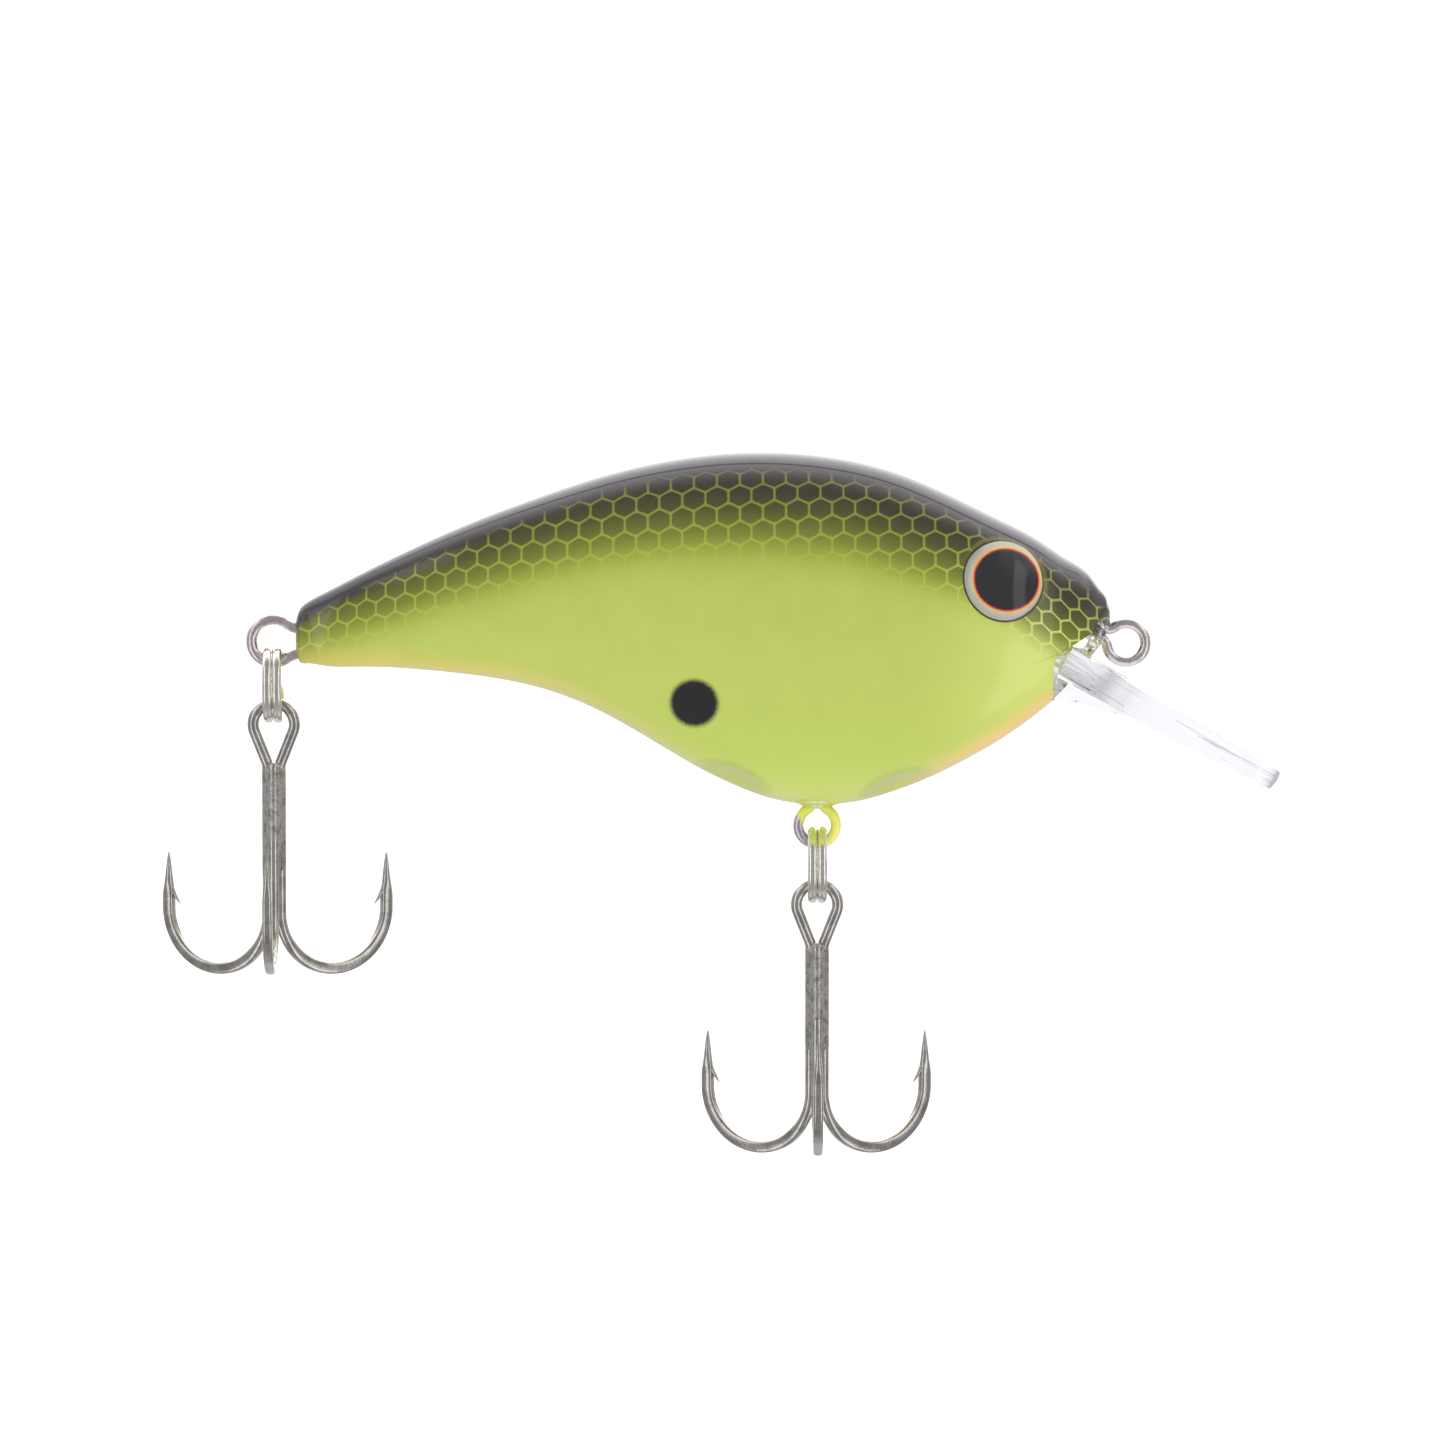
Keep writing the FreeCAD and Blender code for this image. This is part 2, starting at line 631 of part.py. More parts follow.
def build():
    channels = [body_wire(*wire) for wire in WIRES]
    skins = [plain("nose_right", half_body(-1)), plain("nose_left", half_body(1))]
    lip = diving_lip(skins, channels[0])
    seats = inner_weights()
    tools = channels + [lip] + seats
    region = doc.getObject("lip_nose_region")
    body_shell("body_shell_right", -1, tools + [region])
    body_shell("body_shell_left", 1, tools + [region])
    for name, side in (("right", -1), ("left", 1)):
        eye_parts(name, side)
    hang("belly", BELLY_EYE, "belly_inner")
    hang("tail", TAIL_EYE, "tail_inner")


NODES = [
    "body_shell_right", "body_shell_left", "diving_lip", "line_tie_wire", "belly_hanger_wire",
    "tail_hanger_wire", "belly_ballast", "rattle_ball", "eye_iris_right", "eye_iris_left",
    "eye_lens_right", "eye_lens_left", "belly_split_ring", "tail_split_ring",
    "belly_hook_double_wire", "belly_hook_single_wire", "belly_hook_braze",
    "tail_hook_double_wire", "tail_hook_single_wire", "tail_hook_braze",
]


def check_and_export():
    """Stop on any failed object or bad shape, then write one file per sub-part."""
    doc.recompute()
    failed = [item.Name for item in doc.Objects if "Invalid" in item.State or "Error" in item.State]
    if failed:
        raise RuntimeError("objects failed: %s" % failed)
    for name in NODES:
        item = doc.getObject(name)
        item.Label = name
        shape = item.Shape
        if shape.isNull() or not shape.isValid():
            raise RuntimeError("bad shape: " + name)
        box = shape.BoundBox
        print(name, "solids", len(shape.Solids), "volume", round(shape.Volume, 2),
              "x", round(box.XMin, 2), round(box.XMax, 2), "y", round(box.YMin, 2), round(box.YMax, 2),
              "z", round(box.ZMin, 2), round(box.ZMax, 2))
    os.makedirs("parts", exist_ok=True)
    for name in NODES:
        doc.getObject(name).Shape.exportStep("parts/" + name + ".step")


build()
check_and_export()
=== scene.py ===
import math

import bmesh
import bpy
import numpy as np
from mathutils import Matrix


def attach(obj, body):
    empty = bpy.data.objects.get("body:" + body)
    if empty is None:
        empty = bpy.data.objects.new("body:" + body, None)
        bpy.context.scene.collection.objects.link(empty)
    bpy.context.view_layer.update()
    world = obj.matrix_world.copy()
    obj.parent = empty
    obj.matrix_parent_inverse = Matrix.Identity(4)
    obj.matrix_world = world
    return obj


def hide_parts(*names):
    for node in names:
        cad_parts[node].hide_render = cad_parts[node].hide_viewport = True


# Crankbait lure. Shapes are worked out in millimetres in the CAD frame: +X to the nose, +Z up,
# the right-hand side of the lure towards -Y. put_mesh turns them into metres.

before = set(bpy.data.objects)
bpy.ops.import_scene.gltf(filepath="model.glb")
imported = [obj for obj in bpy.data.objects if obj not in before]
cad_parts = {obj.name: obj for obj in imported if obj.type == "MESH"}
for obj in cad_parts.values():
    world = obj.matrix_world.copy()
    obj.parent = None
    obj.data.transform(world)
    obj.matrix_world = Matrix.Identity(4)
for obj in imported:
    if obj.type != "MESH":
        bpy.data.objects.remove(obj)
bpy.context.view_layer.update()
MM = 0.001

# Body stations, tail to nose: distance, back height, belly height, share of the half width.
STATIONS = np.array([
    (-65.2, 1.9, -0.9, 0.11), (-65.05, 2.35, -1.3, 0.17), (-64.5, 3.1, -1.65, 0.225),
    (-63.0, 3.95, -1.82, 0.27), (-60.2, 5.4, -1.9, 0.325), (-55.5, 7.7, -2.1, 0.425),
    (-50.8, 9.75, -2.6, 0.54), (-46.0, 11.55, -3.55, 0.65), (-41.35, 13.1, -5.35, 0.765),
    (-36.6, 14.25, -8.05, 0.865), (-31.9, 14.9, -10.7, 0.94), (-27.2, 15.0, -12.4, 0.985),
    (-22.5, 14.54, -12.66, 1.0), (-17.8, 13.35, -11.55, 0.975), (-13.05, 11.3, -9.4, 0.905),
    (-9.9, 9.75, -7.6, 0.825), (-6.8, 8.1, -5.4, 0.7), (-4.4, 6.5, -3.2, 0.55),
    (-2.8, 5.3, -1.2, 0.4), (-1.9, 4.1, 0.0, 0.275), (-1.4, 3.1, 0.9, 0.15), (-1.25, 2.4, 1.5, 0.065),
])
HALF_WIDTH = 8.0
FLATNESS = 2.5
WALL = 1.2
TAIL_POLE = -65.25
INNER_POLE = -62.5
INNER_JOIN = -60.0
INNER_NOSE = -9.6
WARP_FROM = -12.0
# Edge of the painted body in front of which the clear nose begins: height and distance.
NOSE_EDGE = np.array([
    (-4.7, -5.75), (-3.2, -5.9), (-1.6, -5.87), (-0.95, -5.7), (-0.45, -5.2), (-0.2, -4.4),
    (-0.05, -3.5), (0.2, -3.1), (2.1, -2.2), (3.6, -1.5), (5.6, -0.57),
])
EYE_AT = np.array((-10.0, 5.05, 5.0))
EYE_RISE = math.radians(15)
EYE_TURN = math.radians(9)
EYE_RADIUS = 3.125
SOCKET_RADIUS = 3.155
IRIS_THICK = 0.35
LENS_RIM = 0.55
LENS_DOME = 1.0
LENS_EDGE = 0.02
LIP_CORNER = 0.3
LIP_SLOPE = math.radians(29.6)
# Scoops pressed into the belly before and behind the hanger, given for the left side.
DIMPLES = [(-32.1, 4.4, -13.6), (-17.0, 4.4, -14.2)]
DIMPLE_RADIUS = 4.2
DIMPLE_SOFT = 0.25
DIMPLE_DEPTH = 0.75

# Scale net: distance, height of the fourth row, height at which cells fade, column pitch, row pitch.
NET = np.array([
    (-66.0, 3.6, 0.8, 1.50, 1.30), (-63.85, 4.2, 1.6, 1.50, 1.30), (-60.3, 5.0, 2.8, 1.50, 1.30),
    (-56.6, 5.79, 4.0, 1.55, 1.33), (-54.0, 6.25, 5.0, 1.60, 1.38), (-50.16, 6.97, 6.2, 1.72, 1.45),
    (-47.0, 7.25, 7.2, 1.79, 1.50), (-42.96, 7.62, 8.3, 1.79, 1.53), (-39.4, 8.04, 9.0, 1.79, 1.55),
    (-32.14, 8.81, 9.6, 1.79, 1.55), (-26.8, 9.23, 9.5, 1.79, 1.52), (-21.4, 9.56, 8.9, 1.79, 1.47),
    (-15.84, 9.55, 7.1, 1.78, 1.45), (-12.36, 9.31, 5.8, 1.72, 1.40), (-9.0, 8.2, 3.8, 1.60, 1.32),
    (-6.0, 6.6, 1.8, 1.50, 1.25), (-3.0, 5.0, 0.6, 1.45, 1.20), (-1.0, 3.9, 0.2, 1.40, 1.18),
])
NET_START = -21.4
NET_TRUST = 0.7
NET_WRAP = 1.15
SPOT_AT = (-33.9, -4.3)
SPOT_EDGE = (2.15, 1.6)

# Wire loops: centre, tilt, wire, clear width, half gap of the legs, neck radius, leg length.
LOOPS = {
    "line_tie_wire": ((0, 0, 0), -22, 0.85, 2.18, 0.48, 0.6, 2.0),
    "belly_hanger_wire": ((-24.25, 0, -14.4), -90, 0.83, 2.12, 0.46, 0.6, 2.2),
    "tail_hanger_wire": ((-66.98, 0, 0.13), 180, 0.87, 2.54, 0.95, 2.5, 3.5),
}
WORN_AT = (-24.6, -13.9)
MOUND_HALF = (2.35, 1.25)
MOUND_DROP = 0.42
RING_RADIUS = 2.775
RING_LAYER = 0.38
RING_WIRE = (0.325, 0.37)
RING_TURNS = (120, 780)
RING_STEP = (420, 480)
HOOK_RADIUS = 0.45
HOOK_OFFSET = 0.56
HOOK_BEND = 4.695
HOOK_SHANK = -14.83
HOOK_BASE = -13.9
HOOK_TIP = -10.5
HOOK_LIFT = 0.8
HOOK_LOOP = 1.62
HOOK_NECK = 1.0
HOOK_STRETCH = 1.2
HOOK_SPREAD = math.radians(30)
FLATS_TURN = (11.5, 14.0)
FORGED_WIDER = 0.05
FORGED_THINNER = 0.14
FORGED_SQUARER = 1.4
NEEDLE_END = 0.05
BARB_LEAN = 1.05
BARB_TOP = 1.15
BARB_DROP = 1.85
BRAZE = (-3.0, -11.9)
BRAZE_END = 0.62
BRAZE_DENT = 0.16
RING_CENTRES = {"belly": (-24.25, 0, -17.4417), "tail": (-66.98, 0, -3.2098)}
HOOK_EYES = {"belly": (-24.25, 0, -20.6463), "tail": (-66.98, 0, -6.4144)}


# ---- mesh helpers ----

def new_object(name, data):
    """Object in the scene's own collection."""
    item = bpy.data.objects.new(name, data)
    bpy.context.scene.collection.objects.link(item)
    return item


def put_piece(name, mesh, body, material, stands_for, sharp):
    """Piece made of a finished mesh, smooth except at its sharp edges."""
    mesh.shade_smooth()
    mesh.set_sharp_from_angle(angle=math.radians(sharp))
    mesh.materials.append(material)
    piece = new_object(name, mesh)
    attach(piece, body)
    if stands_for:
        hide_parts(*stands_for)


def put_mesh(name, points, faces, body, material, stands_for=(), uv=None, depths=None, sharp=40):
    """Piece from millimetre points and faces; the faces are turned if they enclose a negative volume."""
    mesh = bpy.data.meshes.new(name)
    mesh.from_pydata(points * MM, [], faces)
    if uv is not None:
        corner = np.zeros(len(mesh.loops), np.int32)
        mesh.loops.foreach_get("vertex_index", corner)
        layer = mesh.uv_layers.new(name="surface")
        layer.data.foreach_set("uv", uv[corner].astype(np.float32).ravel())
    if depths is not None:
        layer = mesh.attributes.new("paint_depths", "FLOAT_VECTOR", "POINT")
        layer.data.foreach_set("vector", depths[:, :3].astype(np.float32).ravel())
        layer = mesh.attributes.new("eye_distance", "FLOAT", "POINT")
        layer.data.foreach_set("value", depths[:, 3].astype(np.float32))
    work = bmesh.new()
    work.from_mesh(mesh)
    bmesh.ops.remove_doubles(work, verts=work.verts, dist=2e-7)
    bmesh.ops.dissolve_degenerate(work, edges=work.edges, dist=1e-8)
    if work.calc_volume(signed=True) < 0:
        bmesh.ops.reverse_faces(work, faces=work.faces)
    work.to_mesh(mesh)
    work.free()
    put_piece(name, mesh, body, material, stands_for, sharp)


def quads(index, close_across=False):
    """Faces between neighbouring rows and columns of a grid of vertex numbers."""
    if close_across:
        index = np.concatenate([index, index[:, :1]], axis=1)
    corners = (index[:-1, :-1], index[1:, :-1], index[1:, 1:], index[:-1, 1:])
    return np.stack(corners, axis=-1).reshape(-1, 4)


def circle(count):
    """Angles evenly round a circle."""
    return np.linspace(0, 2 * np.pi, count, endpoint=False)


def capped(rows, sides):
    """Faces of a tube of rows, closed at both ends by poles whose numbers come after the rows'."""
    index = np.arange(rows * sides).reshape(rows, sides)
    first = np.full((1, sides), rows * sides)
    return quads(np.concatenate([first, index, first + 1]), True)


def carry(path, aim, wide, deep, power=2.0, sides=28):
    """Tube: a superellipse profile of half sizes wide and deep carried along a path, deep lying along aim.

    The profile is (sign(cos a) |cos a|^(2/power), sign(sin a) |sin a|^(2/power)). Both ends close to a pole.
    """
    path = np.asarray(path, float)
    count = len(path)
    heading = np.gradient(path, axis=0)
    heading /= np.linalg.norm(heading, axis=1, keepdims=True)
    aim = np.broadcast_to(np.asarray(aim, float), path.shape)
    deep_way = aim - heading * np.sum(aim * heading, axis=1, keepdims=True)
    deep_way /= np.linalg.norm(deep_way, axis=1, keepdims=True)
    wide_way = np.cross(heading, deep_way)
    turn = circle(sides)[None, :]
    share = 2 / np.broadcast_to(np.asarray(power, float), (count,))[:, None]
    across = np.sign(np.cos(turn)) * np.abs(np.cos(turn)) ** share
    through = np.sign(np.sin(turn)) * np.abs(np.sin(turn)) ** share
    wide = np.broadcast_to(np.asarray(wide, float), (count,))[:, None, None]
    deep = np.broadcast_to(np.asarray(deep, float), (count,))[:, None, None]
    skin = path[:, None] + wide_way[:, None] * across[..., None] * wide
    skin += deep_way[:, None] * through[..., None] * deep
    return np.concatenate([skin.reshape(-1, 3), path[:1], path[-1:]]), capped(count, sides)


def join(*parts):
    """Several point and face sets as one."""
    points = []
    faces = []
    total = 0
    for some, those in parts:
        points.append(some)
        faces += (those + total).tolist()
        total += len(some)
    return np.concatenate(points), faces


def trim(faces):
    """Faces as lists, with a repeated corner at a pole dropped."""
    return [list(dict.fromkeys(face)) for face in np.asarray(faces).tolist()]


def smooth_curve(knots, values):
    """Natural cubic spline through the knots: cubic pieces whose slope and bend agree where they meet."""
    step = np.diff(knots)
    slope = np.diff(values) / step
    inner = np.arange(1, len(knots) - 1)
    matrix = np.eye(len(knots))
    matrix[inner, inner - 1] = step[:-1]
    matrix[inner, inner] = 2 * (step[:-1] + step[1:])
    matrix[inner, inner + 1] = step[1:]
    right = np.zeros(len(knots))
    right[inner] = 6 * np.diff(slope)
    bend = np.linalg.solve(matrix, right)

    def at(place):
        spot = np.clip(np.searchsorted(knots, place) - 1, 0, len(knots) - 2)
        after = (place - knots[spot]) / step[spot]
        before = 1 - after
        curl = (before ** 3 - before) * bend[spot] + (after ** 3 - after) * bend[spot + 1]
        return before * values[spot] + after * values[spot + 1] + curl * step[spot] ** 2 / 6

    return at


def ease(value, low, high):
    """Smooth step from 0 at low to 1 at high."""
    share = np.clip((value - low) / (high - low), 0, 1)
    return share * share * (3 - 2 * share)


# ---- node helpers ----

def paint(red, green, blue):
    """Screen colour, 0 to 255, as a linear colour."""
    channel = np.array((red, green, blue)) / 255
    linear = np.where(channel <= 0.04045, channel / 12.92, ((channel + 0.055) / 1.055) ** 2.4)
    return (*linear.tolist(), 1.0)


class Graph:
    """Short ways to add nodes to a tree and link them."""

    def __init__(self, tree):
        self.tree = tree

    def send(self, value, socket):
        """Link an output into a socket, or set the socket to a plain value."""
        if isinstance(value, bpy.types.NodeSocket):
            self.tree.links.new(value, socket)
        else:
            socket.default_value = value

    def add(self, kind, inputs=None, outlet=0, **settings):
        """Node with its settings and inputs; returns one of its outputs."""
        item = self.tree.nodes.new(kind)
        for key, value in settings.items():
            setattr(item, key, value)
        for key, value in (inputs or {}).items():
            self.send(value, item.inputs[key])
        return item.outputs[outlet]

    def math(self, operation, *values, clamp=False):
        return self.add("ShaderNodeMath", dict(enumerate(values)), operation=operation, use_clamp=clamp)

    def vector(self, operation, *values, outlet=0):
        return self.add("ShaderNodeVectorMath", dict(enumerate(values)), outlet, operation=operation)

    def step(self, value, low, high):
        """0 at low, 1 at high, smooth between; low may be the larger."""
        ends = {"Value": value, "From Min": low, "From Max": high}
        return self.add("ShaderNodeMapRange", ends, interpolation_type="SMOOTHSTEP")

    def mix(self, share, first, second):
        """Colour between first, at share 0, and second, at share 1."""
        inputs = {0: share, 6: first, 7: second}
        return self.add("ShaderNodeMix", inputs, 2, data_type="RGBA")

    def ramp(self, value, low, high, stops):
        """Colour ramp over a range; the stops are given in the units of the range."""
        place = self.add("ShaderNodeMapRange", {"Value": value, "From Min": low, "From Max": high})
        output = self.add("ShaderNodeValToRGB", {0: place})
        ramp = output.node.color_ramp
        while len(ramp.elements) < len(stops):
            ramp.elements.new(0.5)
        for element, (at, colour) in zip(ramp.elements, stops):
            element.position = (at - low) / (high - low)
            element.color = colour
        return output

    def millimetres(self):
        """Object coordinates in millimetres."""
        spot = self.add("ShaderNodeTexCoord", outlet=3)
        return self.add("ShaderNodeMapping", {"Vector": spot, "Scale": (1000, 1000, 1000)})

    def noise(self, place, scale, detail=2.0, rough=0.5):
        return self.add("ShaderNodeTexNoise",
                        {"Vector": place, "Scale": scale, "Detail": detail, "Roughness": rough})

    def placed(self, tree, inputs):
        """A group in this tree, with its inputs linked or set; returns its outputs by name."""
        return self.add("ShaderNodeGroup", inputs, node_tree=tree).node.outputs

    def times(self, first, second):
        return self.math("MULTIPLY", first, second)

    def split(self, vector):
        """The three parts of a vector."""
        return self.add("ShaderNodeSeparateXYZ", {0: vector}).node.outputs


def new_group(name, inputs, outputs):
    """Empty node group; inputs and outputs are (name, socket kind, starting value)."""
    tree = bpy.data.node_groups.new(name, "ShaderNodeTree")
    for label, kind, start in inputs:
        socket = tree.interface.new_socket(name=label, in_out="INPUT", socket_type=kind)
        if start is not None:
            socket.default_value = start
    for label, kind in outputs:
        tree.interface.new_socket(name=label, in_out="OUTPUT", socket_type=kind)
    graph = Graph(tree)
    source = tree.nodes.new("NodeGroupInput")
    sink = tree.nodes.new("NodeGroupOutput")
    return tree, graph, source.outputs, sink.inputs


def new_material(name, **settings):
    """Material with one Principled shader; settings are its plain socket values, with _ for spaces."""
    material = bpy.data.materials.new(name)
    material.use_nodes = True
    shader = material.node_tree.nodes["Principled BSDF"]
    for key, value in settings.items():
        shader.inputs[key.replace("_", " ")].default_value = value
    return material, Graph(material.node_tree), shader.inputs


def grain_group():
    """Sprayed paint: fine speckle that shifts a spray edge, a soft mottle, and an orange-peel bump."""
    tree, graph, given, result = new_group(
        "sprayed_grain", [("Peel", "NodeSocketFloat", 0.02)],
        [("Speckle", "NodeSocketFloat"), ("Mottle", "NodeSocketFloat"), ("Normal", "NodeSocketVector")])
    place = graph.millimetres()
    speck = graph.noise(place, 9.0, 3.0, 0.7)
    graph.send(graph.math("SUBTRACT", speck, 0.5), result["Speckle"])
    mottle = graph.noise(place, 0.35, 3.0, 0.55)
    graph.send(graph.math("SUBTRACT", mottle, 0.5), result["Mottle"])
    peel = graph.noise(place, 2.2)
    bump = graph.add("ShaderNodeBump", {"Strength": given["Peel"], "Distance": 0.0002, "Height": peel})
    graph.send(bump, result["Normal"])
    return tree


def plating_group():
    """Drawn and plated wire: fine die lines, a cloudy tarnish mask, and a shallow bump."""
    tree, graph, given, result = new_group(
        "plated_wire", [("Cloud Scale", "NodeSocketFloat", 1.2), ("Depth", "NodeSocketFloat", 0.1)],
        [("Tarnish", "NodeSocketFloat"), ("Roughness Shift", "NodeSocketFloat"),
         ("Normal", "NodeSocketVector")])
    place = graph.millimetres()
    cloud = graph.noise(place, given["Cloud Scale"], 4.0, 0.6)
    graph.send(graph.step(cloud, 0.42, 0.66), result["Tarnish"])
    fine = graph.noise(place, 7.0, 3.0, 0.6)
    graph.send(graph.times(graph.math("SUBTRACT", fine, 0.5), 0.25), result["Roughness Shift"])
    bump = graph.add("ShaderNodeBump", {"Strength": given["Depth"], "Distance": 0.0001, "Height": fine})
    graph.send(bump, result["Normal"])
    return tree


def scale_net_group():
    """Net of upright hexagons from a flat map: 1 inside a cell, falling to 0 on the lines between."""
    tree, graph, given, result = new_group(
        "scale_net", [("Map", "NodeSocketVector", None), ("Fray", "NodeSocketFloat", 0.0)],
        [("Cell", "NodeSocketFloat")])
    halves = graph.vector("MULTIPLY", given["Map"], (1.0, 0.5, 0.0))
    stretch = (1.0, math.sqrt(3), 0.0)

    def nearest(shift):
        moved = graph.vector("FRACTION", graph.vector("ADD", halves, (shift, shift, 0.0)))
        return graph.vector("MULTIPLY", graph.vector("SUBTRACT", moved, (0.5, 0.5, 0.0)), stretch)

    even = nearest(0.5)
    odd = nearest(0.0)
    lengths = [graph.vector("LENGTH", offset, outlet=1) for offset in (odd, even)]
    pick = graph.math("LESS_THAN", *lengths)
    offset = graph.add("ShaderNodeMix", {0: pick, 4: even, 5: odd}, 1, data_type="VECTOR")
    parts = graph.split(offset)
    soft = graph.math("SQRT", graph.math("MULTIPLY_ADD", parts[0], parts[0], 0.004))
    high = graph.math("SQRT", graph.math("MULTIPLY_ADD", parts[1], parts[1], 0.002))
    slant = graph.math("ADD", graph.times(soft, 0.5), graph.times(high, math.sqrt(0.75)))
    edge = graph.math("SMOOTH_MAX", soft, slant, 0.12)
    frayed = graph.math("ADD", edge, given["Fray"])
    graph.send(graph.step(frayed, 0.485, 0.43), result["Cell"])
    return tree


# ---- materials ----

def painted_body(grain, net):
    """Chartreuse body: pale belly, dark back, scale net that fades down the flank, one round spot."""
    material, graph, shader = new_material("painted_body", Roughness=0.45, Specular_IOR_Level=0.12,
                                           Coat_Weight=1.0, Coat_Roughness=0.02, Coat_IOR=1.5)
    sprayed = graph.placed(grain, {"Peel": 0.06})
    depths = graph.add("ShaderNodeAttribute", attribute_name="paint_depths", outlet=1)
    back, fade, belly = graph.split(depths)
    xyz = graph.split(graph.millimetres())
    grainy = graph.times(sprayed["Speckle"], 0.9)

    # Flank by height, cloudy; greener under the net, paler at the nose, with painted shade in the scoops.
    flank = graph.ramp(xyz[2], -13, 15, [
        (-13, paint(190, 204, 108)), (-8, paint(174, 188, 88)), (0, paint(170, 182, 88)),
        (5, paint(163, 176, 78)), (8, paint(156, 169, 70)), (15, paint(150, 163, 70)),
    ])
    cloudy = graph.math("MULTIPLY_ADD", sprayed["Mottle"], 0.5, 0.25, clamp=True)
    flank = graph.mix(cloudy, flank, paint(186, 198, 92))
    flank = graph.mix(graph.times(graph.step(fade, -5, 1), 0.65), flank, paint(126, 134, 18))
    flank = graph.mix(graph.times(graph.step(xyz[0], -18, -4), 0.7), flank, paint(208, 216, 116))
    folded = graph.add("ShaderNodeCombineXYZ", {0: xyz[0], 1: graph.math("ABSOLUTE", xyz[1]), 2: xyz[2]})
    # Painted shade: the concave scoops are darkened, as less light reaches into them.
    for centre in DIMPLES:
        away = graph.vector("DISTANCE", folded, centre, outlet=1)
        scoop_shade = graph.step(away, DIMPLE_RADIUS + 1.0, DIMPLE_RADIUS + 0.2)
        flank = graph.mix(graph.times(scoop_shade, 0.4), flank, paint(140, 158, 40))

    # Orange blush along the belly, strong at the throat and faint towards the tail.
    throat = graph.times(graph.step(xyz[0], -20, -10), 0.6)
    tail = graph.math("MULTIPLY_ADD", graph.step(xyz[0], -30, -50), 0.17, 0.06)
    amount = graph.math("ADD", throat, tail, clamp=True)
    blush = graph.step(graph.math("ADD", belly, graph.times(grainy, 0.6)), 2.3, 0.1)
    skin = graph.mix(graph.times(blush, amount), flank, paint(252, 184, 104))

    # Scale net: dark cells that fade out downwards, the skin between them darker towards the back.
    height = graph.math("ADD", fade, grainy)
    shade = graph.ramp(height, -3, 5, [
        (-3, paint(146, 160, 52)), (-1, paint(120, 128, 44)), (0, paint(102, 106, 38)),
        (1.2, paint(78, 76, 34)), (2.6, paint(58, 52, 38)), (5, paint(50, 45, 42)),
    ])
    spread = graph.step(height, -3.4, -0.4)
    flat = graph.add("ShaderNodeUVMap", uv_map="surface")
    cell = graph.placed(net, {"Map": flat, "Fray": graph.times(sprayed["Speckle"], 0.1)})["Cell"]
    line = graph.mix(graph.times(graph.step(height, -1, 3.5), 0.8), skin, paint(106, 112, 50))
    netted = graph.mix(graph.times(cell, spread), line, shade)

    # Dark back, round spot, painted reflection on the upper socket rim, and painted shade in the eye socket
    # and a thin ring round it.
    ragged = graph.times(grainy, 0.5)
    cover = graph.step(graph.math("ADD", back, ragged), 1.9, 0.9)
    backed = graph.mix(cover, netted, paint(58, 54, 58))
    from_spot = graph.vector("SUBTRACT", graph.millimetres(), (SPOT_AT[0], 0, SPOT_AT[1]))
    away = graph.vector("LENGTH", graph.vector("MULTIPLY", from_spot, (1, 0, 1)), outlet=1)
    spot = graph.step(graph.math("ADD", away, ragged), *SPOT_EDGE)
    spotted = graph.mix(spot, backed, paint(30, 26, 30))
    eye = graph.add("ShaderNodeAttribute", attribute_name="eye_distance", outlet=2)
    # Painted reflection: an olive tint on the upper side of the socket rim, for the light its bevel reflects.
    lip = graph.times(graph.step(eye, 3.75, 3.45), graph.step(height, 0.2, 2.5))
    lipped = graph.mix(graph.times(lip, 0.6), spotted, paint(122, 118, 34))
    # Painted shade: the socket wall and floor, and a thin ring round the hole, are darkened as a shadowed
    # recess.
    socket = graph.step(eye, 3.36, 3.24)
    graph.send(graph.mix(socket, lipped, paint(58, 52, 34)), shader["Base Color"])
    graph.send(sprayed["Normal"], shader["Normal"])
    return material


def painted_wire(grain, plating):
    """Hanger sprayed with the body, worn to bare wire on the outer side of its loop."""
    material, graph, shader = new_material("painted_wire", Coat_Weight=0.6, Coat_Roughness=0.05)
    sprayed = graph.placed(grain, {"Peel": 0.2})
    worn = graph.placed(plating, {"Depth": 0.2})
    xyz = graph.split(graph.millimetres())
    sideways = graph.times(graph.math("SUBTRACT", WORN_AT[0], xyz[0]), 1.2)
    lower = graph.times(graph.math("SUBTRACT", WORN_AT[1], xyz[2]), 0.7)
    reach = graph.math("ADD", sideways, lower)
    bare = graph.step(graph.math("ADD", reach, graph.times(sprayed["Speckle"], 0.8)), 1.05, 1.45)
    coat = graph.mix(graph.step(sprayed["Mottle"], -0.1, 0.2), paint(224, 225, 102), paint(238, 234, 130))
    graph.send(graph.mix(bare, coat, paint(222, 212, 222)), shader["Base Color"])
    graph.send(bare, shader["Metallic"])
    graph.send(graph.math("ADD", 0.3, worn["Roughness Shift"]), shader["Roughness"])
    graph.send(sprayed["Normal"], shader["Normal"])
    return material


def metal(name, plating, bright, dull, rough, cloud=1.2, depth=0.15):
    """Plated metal between a bright and a duller colour."""
    material, graph, shader = new_material(name, Metallic=1.0)
    plated = graph.placed(plating, {"Cloud Scale": cloud, "Depth": depth})
    graph.send(graph.mix(plated["Tarnish"], bright, dull), shader["Base Color"])
    graph.send(graph.math("ADD", rough, plated["Roughness Shift"]), shader["Roughness"])
    graph.send(plated["Normal"], shader["Normal"])
    return material


